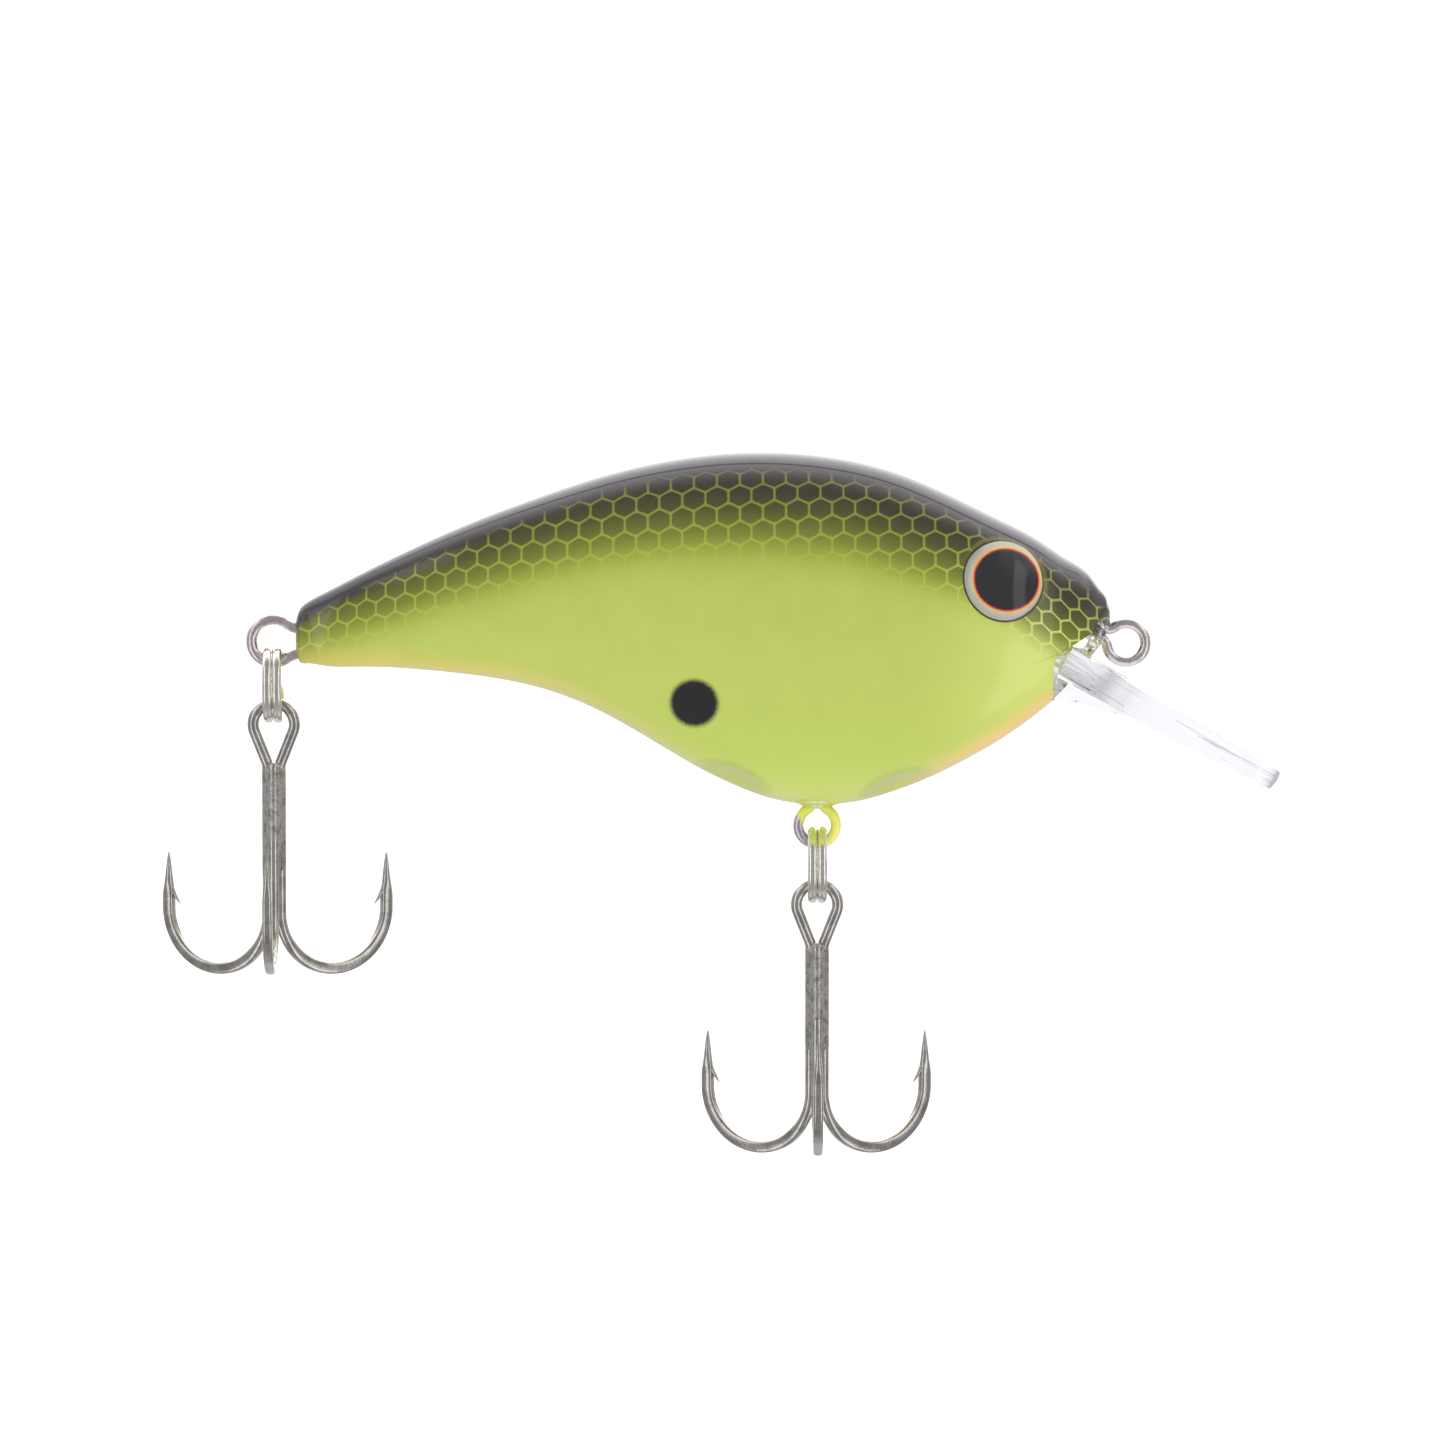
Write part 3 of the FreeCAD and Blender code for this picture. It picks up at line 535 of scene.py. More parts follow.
def clear_plastic(name, index, tint, streaks=0.0):
    """Clear moulded plastic with a faint flow mark in its gloss; streaks run along the blade of the lip.

    Shadow and diffuse rays mostly pass straight through, so that nothing behind it is left dark.
    """
    material, graph, shader = new_material(name, Transmission_Weight=1.0, IOR=index, Metallic=0.0)
    place = graph.millimetres()
    flow = graph.noise(place, 0.6)
    if streaks:
        across = graph.vector("DOT_PRODUCT", place, (math.sin(LIP_SLOPE), 0, math.cos(LIP_SLOPE)), outlet=1)
        along = graph.vector("DOT_PRODUCT", place, (math.cos(LIP_SLOPE), 0, -math.sin(LIP_SLOPE)), outlet=1)
        drawn = graph.add("ShaderNodeCombineXYZ", {0: graph.times(along, 0.05), 1: across})
        relief = {"Strength": streaks, "Distance": 0.0004, "Height": graph.noise(drawn, 1.1)}
        graph.send(graph.add("ShaderNodeBump", relief), shader["Normal"])
    graph.send(graph.mix(flow, paint(255, 255, 255), tint), shader["Base Color"])
    graph.send(graph.times(flow, 0.03), shader["Roughness"])
    ray = graph.add("ShaderNodeLightPath").node.outputs
    passing = graph.math("MAXIMUM", ray["Is Shadow Ray"], ray["Is Diffuse Ray"])
    graph.send(graph.math("MULTIPLY_ADD", passing, -0.85, 1.0), shader["Alpha"])
    return material


def iris_print():
    """Printed eye: black pupil, thin red ring, gold band and a pale rim."""
    material, graph, shader = new_material("iris_print", Roughness=0.5, Specular_IOR_Level=0.1)
    flat = graph.add("ShaderNodeUVMap", uv_map="surface")
    moved = graph.vector("SUBTRACT", flat, (0.3, 0.08, 0))
    away = graph.vector("LENGTH", graph.vector("MULTIPLY", moved, (1, 1.05, 0)), outlet=1)
    spark = graph.noise(graph.millimetres(), 5.0, 2.0, 0.6)
    ragged = graph.times(graph.math("SUBTRACT", spark, 0.5), 0.05)
    ring = graph.math("ADD", away, ragged)
    colour = graph.ramp(ring, 0, 3.3, [
        (0, paint(12, 10, 14)), (2.31, paint(12, 10, 14)), (2.36, paint(200, 40, 40)),
        (2.43, paint(226, 70, 40)), (2.48, paint(246, 176, 50)), (2.56, paint(238, 200, 130)),
        (2.7, paint(206, 200, 180)), (3.3, paint(188, 196, 188)),
    ])
    graph.send(colour, shader["Base Color"])
    return material


def white_sweep():
    """Matt white floor with a little light of its own, so that it meets the white room without a line."""
    return new_material("studio_floor", Roughness=1.0, Specular_IOR_Level=0.0,
                        Base_Color=(0.95, 0.95, 0.955, 1.0), Emission_Color=(1, 1, 1, 1),
                        Emission_Strength=0.45)[0]


# ---- body ----

back_line = smooth_curve(STATIONS[:, 0], STATIONS[:, 1])
belly_line = smooth_curve(STATIONS[:, 0], STATIONS[:, 2])
width_line = smooth_curve(STATIONS[:, 0], STATIONS[:, 3] * HALF_WIDTH)
row_line = smooth_curve(NET[:, 0], NET[:, 1])
fade_line = smooth_curve(NET[:, 0], NET[:, 2])


def section(x, inset=0.0):
    """Middle height, half height and half width of the body's section."""
    top = back_line(x)
    bottom = belly_line(x)
    half = np.maximum((top - bottom) / 2 - inset, 0.15)
    return (top + bottom) / 2, half, np.maximum(width_line(x) - inset, 0.12)


def half_depth(x, z):
    """Distance of the skin from the parting plane: width times (1 - |height|^2.5)^(1/2.5)."""
    middle, half, wide = section(x)
    share = np.clip(np.abs((z - middle) / half), 0, 1)
    return wide * (1 - share ** FLATNESS) ** (1 / FLATNESS)


def net_map(x, z):
    """Column and row of the scale net: pitches along the body, and along the section below row four."""
    along = np.linspace(-66, -0.5, 600)
    pitch = np.interp(along, NET[:, 0], NET[:, 3])
    columns = np.concatenate([[0], np.cumsum((1 / pitch[1:] + 1 / pitch[:-1]) / 2 * np.diff(along))])
    columns -= np.interp(NET_START, along, columns)
    share = np.linspace(0, 1, 25)
    middle, half, _ = section(x)
    row = row_line(x)
    start = np.minimum(row, middle + NET_TRUST * half)
    heights = start[:, None] + (z - start)[:, None] * share
    outs = half_depth(x[:, None], heights)
    length = np.hypot(np.diff(heights, axis=1), np.diff(outs, axis=1)).sum(axis=1)
    rows = (np.sign(start - z) * length + NET_WRAP * (row - start)) / np.interp(x, NET[:, 0], NET[:, 4])
    return np.stack([np.interp(x, along, columns), rows], axis=1)


def eye_frame():
    """Outward, rearward and upward directions of the left eye."""
    out = np.array((math.cos(EYE_RISE) * math.sin(EYE_TURN), math.cos(EYE_RISE) * math.cos(EYE_TURN),
                    math.sin(EYE_RISE)))
    fore = np.cross(out, (0, 0, 1))
    fore /= np.linalg.norm(fore)
    return out, fore, np.cross(fore, out)


def eye_polar(points):
    """Distance of points from the eye's axis, along it from the socket floor, and the angle round it."""
    out, fore, up = eye_frame()
    offset = points - EYE_AT
    a = offset @ fore
    b = offset @ up
    return np.hypot(a, b), offset @ out, np.arctan2(b, a)


def from_eye(radius, lift, angle):
    """Points from a distance from the eye's axis, a height over the socket floor and an angle."""
    out, fore, up = eye_frame()
    radius, lift, angle = np.broadcast_arrays(radius, lift, angle)
    return (EYE_AT + out * lift[..., None] + fore * (radius * np.cos(angle))[..., None]
            + up * (radius * np.sin(angle))[..., None])


def body_grid(columns, rise, out):
    """Skin of one half: back and belly splines with a superellipse section, ending on the nose edge."""
    low = np.full(len(rise), -9.0)
    high = np.full(len(rise), -1.26)
    for _ in range(40):
        tries = (low + high) / 2
        middle, half, wide = section(tries)
        beyond = tries > np.interp(middle + half * rise, NOSE_EDGE[:, 0], NOSE_EDGE[:, 1])
        high = np.where(beyond, tries, high)
        low = np.where(beyond, low, tries)
    share = np.clip((columns - WARP_FROM) / (columns[-1] - WARP_FROM), 0, 1)[:, None]
    x = np.where(share > 0, WARP_FROM + share * (low[None, :] - WARP_FROM), columns[:, None])
    middle, half, wide = section(x)
    skin = np.stack([x, wide * out, middle + half * rise], axis=-1)
    skin[0] = (TAIL_POLE, 0, middle[0, 0])
    return skin


def inner_grid(columns, rise, out):
    """Hollow of one half: the same section less the wall, kept clear of the eye socket."""
    x = np.minimum(columns, 0)[:, None] + 0 * rise
    squeeze = (INNER_JOIN - INNER_POLE) / (INNER_JOIN - TAIL_POLE)
    x = np.where(x < INNER_JOIN, INNER_JOIN + (x - INNER_JOIN) * squeeze, x)
    squeeze = (INNER_NOSE - WARP_FROM) / (columns[-1] - WARP_FROM)
    x = np.where(x > WARP_FROM, WARP_FROM + (x - WARP_FROM) * squeeze, x)
    middle, half, wide = section(x, WALL)
    wall = np.stack([x, wide * out, middle + half * rise], axis=-1)
    wall[0] = (INNER_POLE, 0, middle[0, 0])
    wall[-1] = (INNER_NOSE, 0, middle[-1, 0])
    away, lift, _ = eye_polar(wall)
    push = np.maximum(lift + 0.9, 0) * ease(away, 5.0, 4.0)
    wall[..., 1] = np.maximum(wall[..., 1] - push, 0)
    return wall


def press_dimples(points):
    """Push points that lie inside a dimple's sphere out to its surface, with a soft rim."""
    for centre in DIMPLES:
        offset = points - np.array(centre)
        away = np.linalg.norm(offset, axis=1)
        gap = DIMPLE_RADIUS - away
        pushed = away + 0.5 * (gap + np.sqrt(gap ** 2 + DIMPLE_SOFT))
        share = DIMPLE_DEPTH * ease(away, DIMPLE_RADIUS + 1.6, DIMPLE_RADIUS)
        target = np.where(points[:, 1] > 0.4, away + (pushed - away) * share, away)
        points = np.array(centre) + offset * (target / away)[:, None]
    return points


def open_socket(points, faces):
    """Cut a round hole in the skin: the nearer end of each crossing edge moves on to the circle."""
    away, lift, _ = eye_polar(points)
    away = np.where(lift > -1.5, away, 99.0)
    edges = np.concatenate([faces[:, [n, (n + 1) % 4]] for n in range(4)])
    crossing = edges[(away[edges[:, 0]] < SOCKET_RADIUS) != (away[edges[:, 1]] < SOCKET_RADIUS)]
    nearer = np.abs(away[crossing] - SOCKET_RADIUS).argmin(axis=1)
    snapped = np.unique(crossing[np.arange(len(crossing)), nearer])
    for _ in range(6):
        _, lift, angle = eye_polar(points[snapped])
        moved = from_eye(SOCKET_RADIUS, lift, angle)
        moved[:, 1] = half_depth(moved[:, 0], moved[:, 2])
        points[snapped] = moved
    on = np.zeros(len(points), bool)
    on[snapped] = True
    inside = (away < SOCKET_RADIUS) & ~on
    outside = ~inside & ~on
    has_in = inside[faces].any(axis=1)
    has_out = outside[faces].any(axis=1)
    split = faces[has_in & has_out]
    kept = faces[~has_in & has_out]
    corner = outside[split].argmax(axis=1)
    row = np.arange(len(split))
    thirds = np.stack([split[row, (corner + n) % 4] for n in (3, 0, 1)], axis=1)
    ring_edges = np.concatenate([kept[:, [n, (n + 1) % 4]] for n in range(4)] + [thirds[:, [2, 0]]])
    ring = np.unique(ring_edges[on[ring_edges].all(axis=1)])
    ring = ring[np.argsort(eye_polar(points[ring])[2])]
    return points, kept, thirds, ring


def body_half(name, side, material):
    """Closed hollow half: skin, eye socket cup, hollow and the rims at the parting plane and the nose."""
    tail_cap = [-65.22, -65.2, -65.13]
    columns = np.concatenate([tail_cap, np.linspace(-65.05, -63, 10)[:-1],
                              np.linspace(-63, -14, 165)[:-1], np.linspace(-14, -1.5, 84)])
    turn = np.linspace(-np.pi / 2, np.pi / 2, 121)
    power = 2 / FLATNESS
    rise = np.sign(turn) * np.abs(np.sin(turn)) ** power
    out = np.abs(np.cos(turn)) ** power
    out[[0, -1]] = 0
    skin = body_grid(columns, rise, out)
    wall = inner_grid(columns, rise, out)
    count = skin.shape[0] * skin.shape[1]
    index = np.arange(count).reshape(skin.shape[:2])
    hollow = index + count
    points, kept, thirds, ring = open_socket(skin.reshape(-1, 3), quads(index))
    points = press_dimples(points)
    angle = eye_polar(points[ring])[2]
    floor = np.concatenate([from_eye(SOCKET_RADIUS, 0, angle), from_eye(SOCKET_RADIUS / 2, 0, angle),
                            from_eye(0, 0, angle[:1])])
    base = 2 * count
    n = len(ring)
    cup = np.stack([ring, base + np.arange(n), base + n + np.arange(n), np.full(n, base + 2 * n)])
    nose = base + 2 * n + 1 + np.arange(len(turn))
    nose_wall = np.stack([index[-1], nose, hollow[-1]])
    points = np.concatenate([points, wall.reshape(-1, 3), floor, skin[-1] * (1, 0, 1)])
    rims = [np.stack([hollow[:, -1], index[:, -1]]), np.stack([index[:, 0], hollow[:, 0]])]
    faces = [kept, thirds, quads(hollow)[:, ::-1], quads(cup, True)]
    faces += [quads(rims[0])[:, ::-1], quads(rims[1])[:, ::-1], quads(nose_wall)]
    faces = [face for group in faces for face in trim(group)]
    x, z = points[:, 0], points[:, 2]
    depths = np.stack([back_line(x) - z, z - fade_line(x), z - belly_line(x), eye_polar(points)[0]], axis=1)
    uv = net_map(x, z)
    points[:, 1] *= side
    put_mesh(name, points, faces, "lure_body", material,
             ["body_shell_" + name.split("_")[1]], uv, depths, 50)


# ---- eyes ----

def revolved_eye(name, profile, side, finish, node):
    """Solid of revolution about the eye's axis from (distance, height) points, its ends on the axis."""
    profile = np.array(profile)
    angle = circle(96)
    points = from_eye(profile[:, :1], profile[:, 1:], angle[None, :])
    faces = quads(np.arange(points.shape[0] * len(angle)).reshape(points.shape[:2]), True)
    flat = np.stack([profile[:, :1] * np.cos(angle), profile[:, :1] * np.sin(angle)], axis=-1)
    points = points.reshape(-1, 3) * (1, side, 1)
    put_mesh(name, points, trim(faces), "lure_body", finish, [node], flat.reshape(-1, 2))


def make_eye(name, side, print_finish, lens_finish):
    """Printed disc under a domed lens with a rounded rim."""
    disc = [(0, 0), (EYE_RADIUS, 0), (EYE_RADIUS, IRIS_THICK), (EYE_RADIUS * 0.48, IRIS_THICK),
            (0, IRIS_THICK)]
    revolved_eye("eye_print_" + name, disc, side, print_finish, "eye_iris_" + name)
    curve = (EYE_RADIUS ** 2 + LENS_DOME ** 2) / (2 * LENS_DOME)
    edge = math.asin((EYE_RADIUS - 5 * LENS_EDGE) / curve)
    foot = IRIS_THICK + 0.004
    rim = foot + LENS_RIM
    dome = [(0, foot), (EYE_RADIUS - LENS_EDGE, foot), (EYE_RADIUS, foot + LENS_EDGE),
            (EYE_RADIUS, rim - 6 * LENS_EDGE), (EYE_RADIUS - 1.5 * LENS_EDGE, rim - LENS_EDGE)]
    dome += [(curve * math.sin(a), rim + LENS_DOME - curve * (1 - math.cos(a)))
             for a in np.linspace(edge, 0, 26)]
    revolved_eye("eye_dome_" + name, dome, side, lens_finish, "eye_lens_" + name)


# ---- wires, rings and hooks ----

def arc(centre, radius, start, end, count):
    """Points of an arc in a plane, from one angle to another."""
    angle = np.linspace(start, end, count)
    return np.stack([centre[0] + radius * np.cos(angle), centre[1] + radius * np.sin(angle)], axis=1)


def loop_path(ring, gap, neck, legs, stretch=0.0):
    """Wire loop in a plane: leg, reverse-curved neck, eye round the origin, neck and leg. The legs run to -x.

    A stretch moves the necks away from the eye, and straight wire that touches both curves joins them.
    """
    start = -math.sqrt((ring + neck) ** 2 - (gap + neck) ** 2) - stretch
    far = math.hypot(start, gap + neck)
    meet = math.atan2(gap + neck, start) - math.acos(min(1.0, (ring + neck) / far))
    leg = np.stack([np.linspace(start - legs, start, 12)[:-1], np.full(11, gap)], axis=1)
    bend = arc((start, gap + neck), neck, -np.pi / 2, meet - np.pi, 18)
    join_at = np.array((ring * math.cos(meet), ring * math.sin(meet)))
    straight = bend[-1] + (join_at - bend[-1]) * np.linspace(0, 1, 10)[1:-1, None]
    side = np.concatenate([leg, bend, straight if stretch else bend[:0]])
    eye = arc((0, 0), ring, meet, -meet, 92)
    return np.concatenate([side, eye if stretch else eye[1:-1], side[::-1] * (1, -1)])


def in_space(flat, centre, tilt):
    """Plane points placed in the parting plane, turned about Y."""
    turn = math.radians(tilt)
    x = centre[0] + flat[:, 0] * math.cos(turn) - flat[:, 1] * math.sin(turn)
    z = centre[2] + flat[:, 0] * math.sin(turn) + flat[:, 1] * math.cos(turn)
    return np.stack([x, np.full(len(x), centre[1]), z], axis=1)


def body_loop(name, finish):
    """Round wire bent into a loop whose legs are buried in the body."""
    centre, tilt, wire, clear, gap, neck, legs = LOOPS[name]
    path = in_space(loop_path((clear + wire) / 2, gap, neck, legs), centre, tilt)
    points, faces = carry(path, (0, 1, 0), wire / 2, wire / 2, sides=36)
    put_mesh(name + "_bent", points, trim(faces), "lure_body", finish, [name])


def split_ring(name, body, finish):
    """Two turns of flat-sided wire side by side, with a short stretch that steps across."""
    degrees = np.linspace(*RING_TURNS, 300)
    angle = np.radians(degrees)
    layer = RING_LAYER * (2 * ease(degrees, *RING_STEP) - 1)
    centre = RING_CENTRES[name]
    path = np.stack([centre[0] + layer, RING_RADIUS * np.sin(angle), centre[2] + RING_RADIUS * np.cos(angle)],
                    axis=1)
    points, faces = carry(path, (1, 0, 0), *RING_WIRE, 2.3)
    put_mesh(name + "_ring_coil", points, trim(faces), body, finish, [name + "_split_ring"],
             sharp=50)


def prong(root, aim, lift, top):
    """Centre line of one prong from the top of its shank, down, round the bend and up to the point.

    Returns the points, the direction that the forged flats face, half width, half thickness and squareness.
    """
    flat_way = np.array((math.copysign(aim[1], aim[0]), -abs(aim[0]), 0))
    bottom = HOOK_SHANK + lift
    base = HOOK_BASE + lift
    shank = np.linspace(top, bottom, 40)[:-1]
    turn = np.linspace(0, np.pi, 72)
    rise = np.linspace(bottom, base, 8)[1:-1]
    needle = base + (HOOK_TIP - HOOK_BASE) * np.linspace(0, 1, 30) ** 0.85
    along = np.concatenate([np.zeros(len(shank)), HOOK_BEND * (1 - np.cos(turn)),
                            np.full(len(rise) + len(needle), 2 * HOOK_BEND)])
    height = np.concatenate([shank, bottom - HOOK_BEND * np.sin(turn), rise, needle])
    path = root + np.array(aim) * along[:, None]
    path[:, 2] = height
    to_tip = np.clip((HOOK_TIP + lift - height) / (HOOK_TIP - HOOK_BASE), 0, 1)
    past_bend = along >= 2 * HOOK_BEND - 1e-6
    taper = np.where(past_bend, NEEDLE_END + (1 - NEEDLE_END) * to_tip ** 0.72, 1.0)
    forged = ease(along, 0.3, 2.0) * np.where(past_bend, ease(to_tip, 0.55, 1.0), 1.0)
    wide = HOOK_RADIUS * taper * (1 + FORGED_WIDER * forged)
    deep = HOOK_RADIUS * taper * (1 - FORGED_THINNER * forged)
    return path, flat_way, wide, deep, 2 + FORGED_SQUARER * forged


def barb(root, aim, lift):
    """Sliver lifted from the inner side of the point: a bar that tapers as it leans inwards and down."""
    share = np.linspace(0, 1, 14)
    aim = np.array(aim)
    inward = 0.02 + BARB_LEAN * share ** 1.25
    path = root + aim * (2 * HOOK_BEND) - aim * inward[:, None]
    path[:, 2] = HOOK_BASE + lift + BARB_TOP - BARB_DROP * share ** 0.9
    size = 0.03 + 0.25 * (1 - share) ** 0.8
    return carry(path, (aim[1], -aim[0], 0), size, size * 0.8, 2.4, 14)


def shank_braze(name, body, centre, finish):
    """Braze round the three shanks, with a dent low down in front.

    Its radius is (0.86 + 0.17 cos 3a) times a share that eases from 0.62 at the ends to 1.
    """
    rows, sides = 60, 72
    share = np.linspace(0, 1, rows)
    end = np.minimum(ease(share, 0, 0.07), ease(share, 1, 0.93))
    height = BRAZE[0] + (BRAZE[1] - BRAZE[0]) * share
    angle = circle(sides)
    lobes = 0.86 + 0.17 * np.cos(3 * (angle - HOOK_SPREAD))
    radius = lobes[None, :] * (BRAZE_END + (1 - BRAZE_END) * end[:, None])
    front = np.maximum(-np.sin(angle), 0)[None, :] ** 3
    radius = radius - BRAZE_DENT * front * ease(-height, 8.6, 10.6)[:, None]
    height = np.repeat(height[:, None], sides, axis=1)
    points = np.stack([radius * np.cos(angle), radius * np.sin(angle), height], axis=-1).reshape(-1, 3)
    points = np.concatenate([points, [(0, 0, BRAZE[0]), (0, 0, BRAZE[1])]])
    put_mesh(name + "_shank_braze", points + centre, trim(capped(rows, sides)), body, finish,
             [name + "_hook_braze"])


def treble(name, body, wire_finish, braze_finish):
    """Double wire with the eye, the third wire towards -Y, and the brazed shank.

    Hook heights count down from the eye; the doubled wire's flats turn from the front to their prong.
    """
    eye = np.array(HOOK_EYES[name])
    drop = (0, 0, eye[2])
    cos, sin = math.cos(HOOK_SPREAD), math.sin(HOOK_SPREAD)
    axis = eye * (1, 1, 0) + (0, -HOOK_OFFSET * sin, 0)
    neck = in_space(loop_path(HOOK_LOOP, HOOK_OFFSET * cos, HOOK_NECK, 0.3, HOOK_STRETCH), eye, 90)
    front = (0.0, -1.0, 0.0)
    arms = []
    barbs = []
    for aim in ((-cos, sin, 0), (cos, sin, 0)):
        root = axis + np.array(aim) * HOOK_OFFSET
        path, flat_way, wide, deep, power = prong(root, aim, 0, neck[0, 2] - eye[2] - 0.2)
        share = ease(-path[:, 2], *FLATS_TURN)[:, None]
        arms.append((path + drop, np.array(front) * (1 - share) + flat_way * share, wide, deep, power))
        points, faces = barb(root, aim, 0)
        barbs.append((points + drop, faces))
    count = len(neck)
    loop = (neck, np.tile(front, (count, 1)), np.full(count, HOOK_RADIUS), np.full(count, HOOK_RADIUS),
            np.full(count, 2.0))
    whole = [np.concatenate([up[::-1], over, down]) for up, over, down in zip(arms[0], loop, arms[1])]
    points, faces = join(carry(*whole), *barbs)
    put_mesh(name + "_hook_pair", points, trim(faces), body, wire_finish,
             [name + "_hook_double_wire"], sharp=50)

    root = axis + np.array(front) * HOOK_OFFSET
    points, faces = join(carry(*prong(root, front, HOOK_LIFT, BRAZE[0] - 0.3)), barb(root, front, HOOK_LIFT))
    put_mesh(name + "_hook_third", points + drop, trim(faces), body, wire_finish,
             [name + "_hook_single_wire"], sharp=50)
    shank_braze(name, body, axis + drop, braze_finish)


def moulded_lip(material):
    """The clear lip with its corners rounded: sharp edges become arcs, flat faces are made whole first."""
    work = bmesh.new()
    work.from_mesh(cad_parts["diving_lip"].data)
    bmesh.ops.remove_doubles(work, verts=work.verts, dist=2e-6)
    bmesh.ops.dissolve_limit(work, angle_limit=math.radians(0.5), verts=work.verts, edges=work.edges)
    corners = [edge for edge in work.edges if edge.calc_face_angle(0) > math.radians(30)]
    bmesh.ops.bevel(work, geom=corners, offset=LIP_CORNER * MM, offset_type="OFFSET", segments=4, profile=0.5,
                    affect="EDGES", clamp_overlap=True)
    bmesh.ops.triangulate(work, faces=work.faces)
    mesh = bpy.data.meshes.new("diving_lip_moulded")
    work.to_mesh(mesh)
    work.free()
    put_piece("diving_lip_moulded", mesh, "lure_body", material, ["diving_lip"], 35)


def paint_fillet(material):
    """Low oval mound of paint where the belly hanger leaves the body: height falls as (1 - r^2)^2."""
    rings, sides = 14, 48
    radius = np.linspace(1, 0, rings)[:, None]
    angle = circle(sides)[None, :]
    x = LOOPS["belly_hanger_wire"][0][0] + MOUND_HALF[0] * radius * np.cos(angle)
    y = MOUND_HALF[1] * radius * np.sin(angle)
    seat = belly_line(x) + 0.25
    lower = np.stack([x, y, seat - 0.2 - MOUND_DROP * (1 - radius ** 2) ** 2], axis=-1).reshape(-1, 3)
    upper = np.stack([x, y, seat + 0.4], axis=-1).reshape(-1, 3)
    index = np.arange(rings * sides).reshape(rings, sides)
    stack = np.concatenate([index[::-1], index + len(lower)])
    points = np.concatenate([lower, upper])
    x, z = points[:, 0], points[:, 2]
    above_belly = np.maximum(z - belly_line(x), 1.6)
    depths = np.stack([back_line(x) - z, z - fade_line(x), above_belly, np.full(len(x), 20)], axis=1)
    put_mesh("belly_hanger_fillet", points, trim(quads(stack, True)), "lure_body", material,
             uv=net_map(x, z), depths=depths)


# ---- stage ----

def front_fill():
    """Broad lamp above the camera, aimed at the lure and unseen in glossy or clear surfaces."""
    place = (-0.1, -1.3, 0.7)
    aim = (-0.03, 0.0, 0.0)
    data = bpy.data.lights.new("front_fill", "AREA")
    data.shape = "RECTANGLE"
    data.size, data.size_y = 1.4, 1.0
    data.energy = 5.7
    lamp = new_object("front_fill", data)
    lamp.location = place
    x, y, z = (end - start for end, start in zip(aim, place))
    lamp.rotation_euler = (math.atan2(math.hypot(x, y), -z), 0, math.atan2(y, x) - math.pi / 2)
    lamp.visible_glossy = False
    lamp.visible_transmission = False


def studio():
    """White sweep in a white room that looks different to plain, glossy and clear surfaces."""
    floor_half, floor_height = 8, -0.075
    mesh = bpy.data.meshes.new("studio_floor")
    corners = [(-1, -1), (1, -1), (1, 1), (-1, 1)]
    mesh.from_pydata([(floor_half * x, floor_half * y, floor_height) for x, y in corners], [], [(0, 1, 2, 3)])
    mesh.materials.append(white_sweep())
    floor = new_object("studio_floor", mesh)
    floor.visible_glossy = False
    floor.visible_transmission = False

    world = bpy.data.worlds.new("studio")
    bpy.context.scene.world = world
    world.use_nodes = True
    graph = Graph(world.node_tree)
    xyz = graph.split(graph.add("ShaderNodeTexCoord"))
    ray = graph.add("ShaderNodeLightPath").node.outputs
    spread = graph.math("ABSOLUTE", xyz[0])

    # Glossy rays see a bright card behind, weaker below, with a slot high up and dull upright sides,
    slot = graph.times(graph.step(xyz[1], 0.40, 0.415), graph.step(xyz[1], 0.49, 0.475))
    slot = graph.times(slot, graph.step(xyz[2], 0.6, 0.7))
    sides = graph.times(graph.step(spread, 0.4, 0.65), graph.step(xyz[2], 0.6, 0.3))
    card = graph.step(xyz[1], -0.35, 0.35)
    for dark in (slot, sides):
        card = graph.times(card, graph.math("MULTIPLY_ADD", dark, -0.85, 1.0))
    low = graph.math("MULTIPLY_ADD", graph.step(xyz[2], -0.3, 0.1), 0.8, 0.2)
    mirrored = graph.math("MULTIPLY_ADD", graph.times(card, low), 1.6, 0.34)
    # and a bright strip in front on either hand.
    strips = graph.times(graph.step(spread, 0.5, 0.56), graph.step(spread, 0.84, 0.78))
    strips = graph.times(strips, graph.step(xyz[1], -0.2, -0.4))
    mirrored = graph.math("ADD", strips, mirrored)
    # Rays through clear parts see brighter walls to the sides and below.
    level = graph.math("MAXIMUM", spread, graph.math("ABSOLUTE", xyz[1]))
    walls = graph.math("MAXIMUM", graph.step(level, 0.86, 0.99), graph.step(xyz[2], -0.25, -0.5))
    through = graph.math("MULTIPLY_ADD", walls, 0.52, 0.56)

    strength = graph.math("MULTIPLY_ADD", ray["Is Camera Ray"], 0.32, 0.78)
    for kind, level in (("Is Glossy Ray", mirrored), ("Is Transmission Ray", through)):
        strength = graph.add("ShaderNodeMix", {0: ray[kind], 2: strength, 3: level}, data_type="FLOAT")
    back = world.node_tree.nodes["Background"]
    graph.send(graph.mix(ray["Is Glossy Ray"], (1, 1, 1, 1), (0.985, 0.965, 1, 1)), back.inputs["Color"])
    graph.send(strength, back.inputs["Strength"])


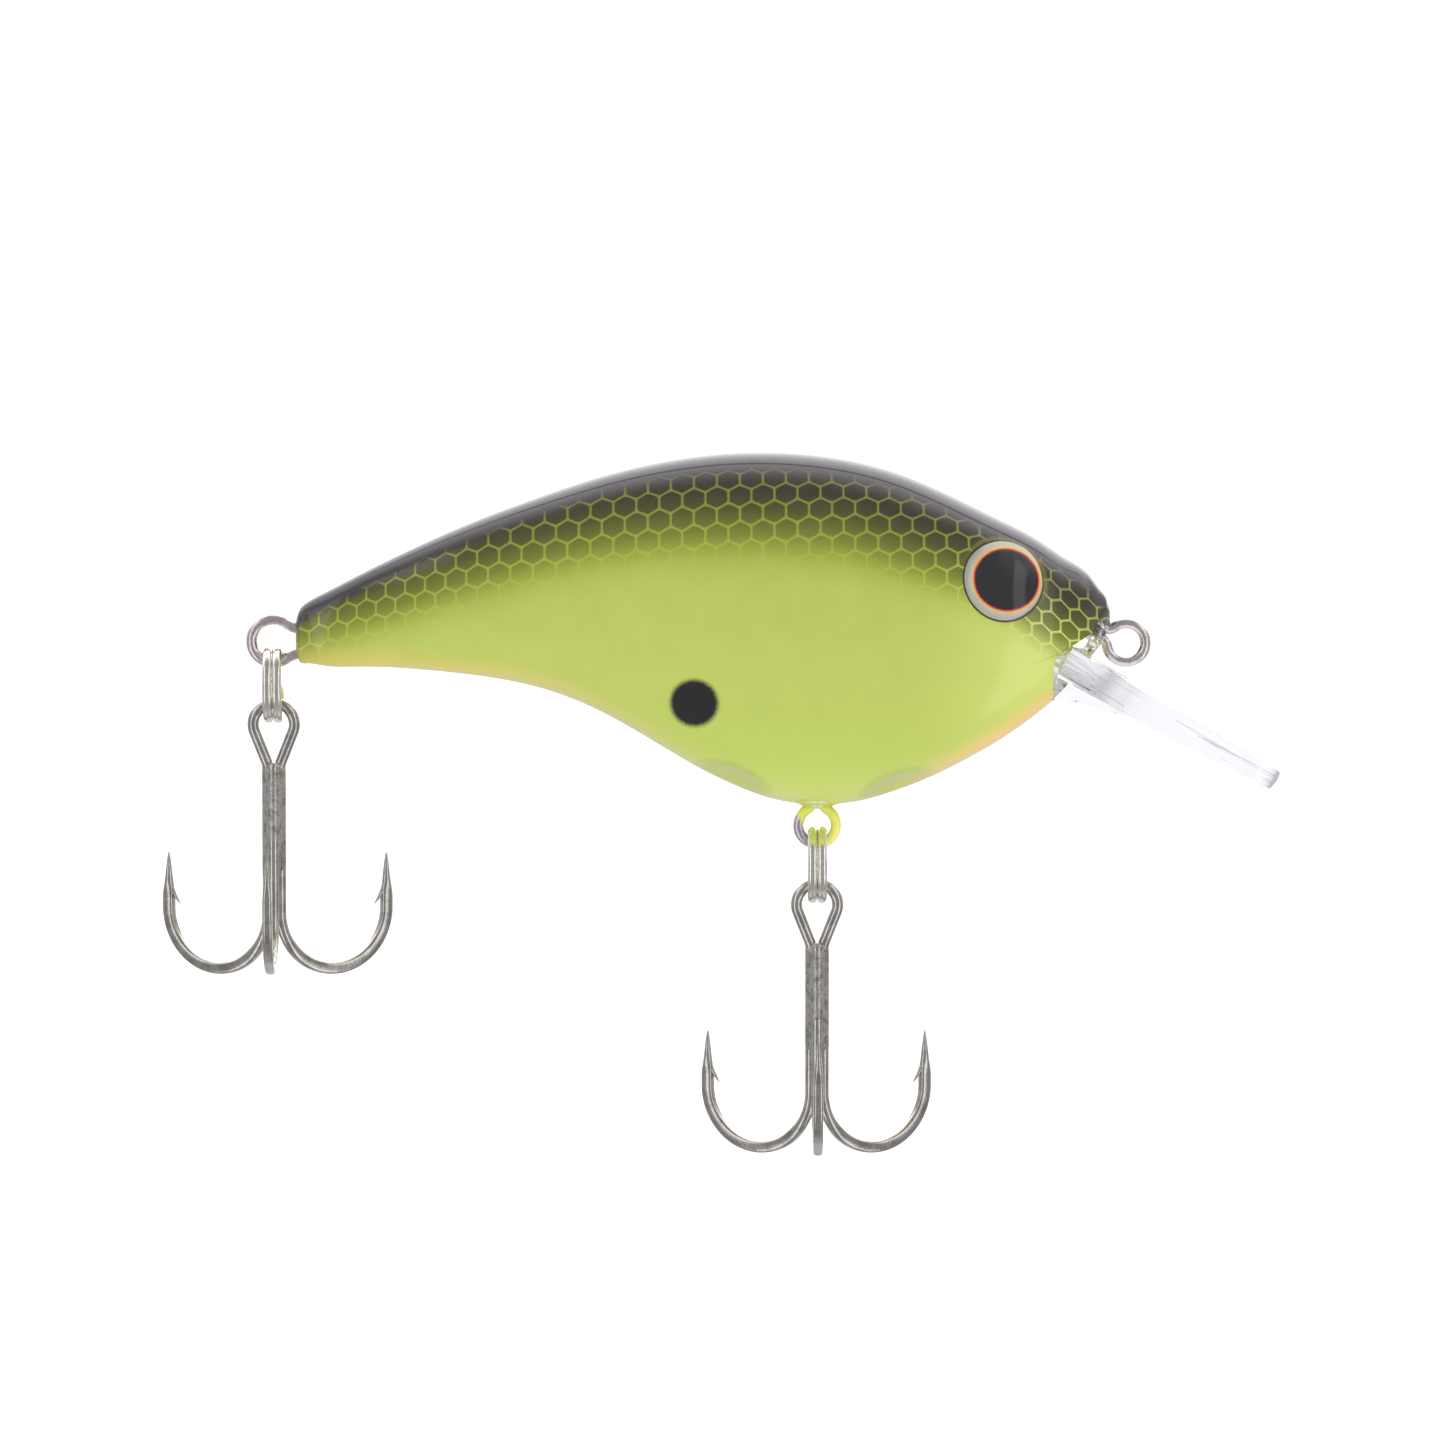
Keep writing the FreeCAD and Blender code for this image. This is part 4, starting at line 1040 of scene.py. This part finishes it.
def camera():
    """Long lens, level with the lure's middle and a little above it."""
    rise = math.radians(4.3)
    distance = 0.6311
    middle = (-0.0317, -0.0063)
    data = bpy.data.cameras.new("camera")
    data.lens = 200
    data.sensor_width = 36
    data.clip_start = 0.01
    item = new_object("camera", data)
    item.location = (middle[0], -distance * math.cos(rise), middle[1] + distance * math.sin(rise))
    item.rotation_euler = (math.pi / 2 - rise, 0, 0)
    bpy.context.scene.camera = item
    bpy.context.scene.view_settings.view_transform = "Standard"


# ---- making ----

def main():
    """Camera, room, finishes, then every piece of the lure."""
    camera()
    studio()
    front_fill()
    grain = grain_group()
    plating = plating_group()
    body_paint = painted_body(grain, scale_net_group())
    hanger_paint = painted_wire(grain, plating)
    wire_steel = metal("wire_steel", plating, paint(238, 230, 228), paint(214, 206, 206), 0.24)
    ring_steel = metal("ring_steel", plating, paint(250, 248, 238), paint(236, 233, 222), 0.16, 1.2, 0.05)
    black_nickel = metal("black_nickel", plating, paint(204, 202, 194), paint(176, 174, 167), 0.13, 0.9, 0.1)
    braze_metal = metal("braze_metal", plating, paint(204, 202, 195), paint(160, 158, 152), 0.22, 1.6, 0.5)
    ballast_metal = metal("ballast_metal", plating, paint(150, 150, 152), paint(120, 120, 124), 0.45)
    ball_metal = metal("ball_metal", plating, paint(205, 205, 208), paint(188, 188, 192), 0.15)
    lip_clear = clear_plastic("lip_clear", 1.49, paint(244, 244, 246), 0.45)
    lens_clear = clear_plastic("lens_clear", 1.49, paint(253, 253, 255))
    iris = iris_print()

    body_half("body_right_painted", -1, body_paint)
    body_half("body_left_painted", 1, body_paint)
    for name, side in (("right", -1), ("left", 1)):
        make_eye(name, side, iris, lens_clear)
    paint_fillet(body_paint)
    body_loop("line_tie_wire", wire_steel)
    body_loop("belly_hanger_wire", hanger_paint)
    body_loop("tail_hanger_wire", wire_steel)
    for name in ("belly", "tail"):
        split_ring(name, name + "_ring", ring_steel)
        treble(name, name + "_hook", black_nickel, braze_metal)
    moulded_lip(lip_clear)
    for node, finish in (("belly_ballast", ballast_metal), ("rattle_ball", ball_metal)):
        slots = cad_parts[node].data.materials
        slots.clear()
        slots.append(finish)


main()
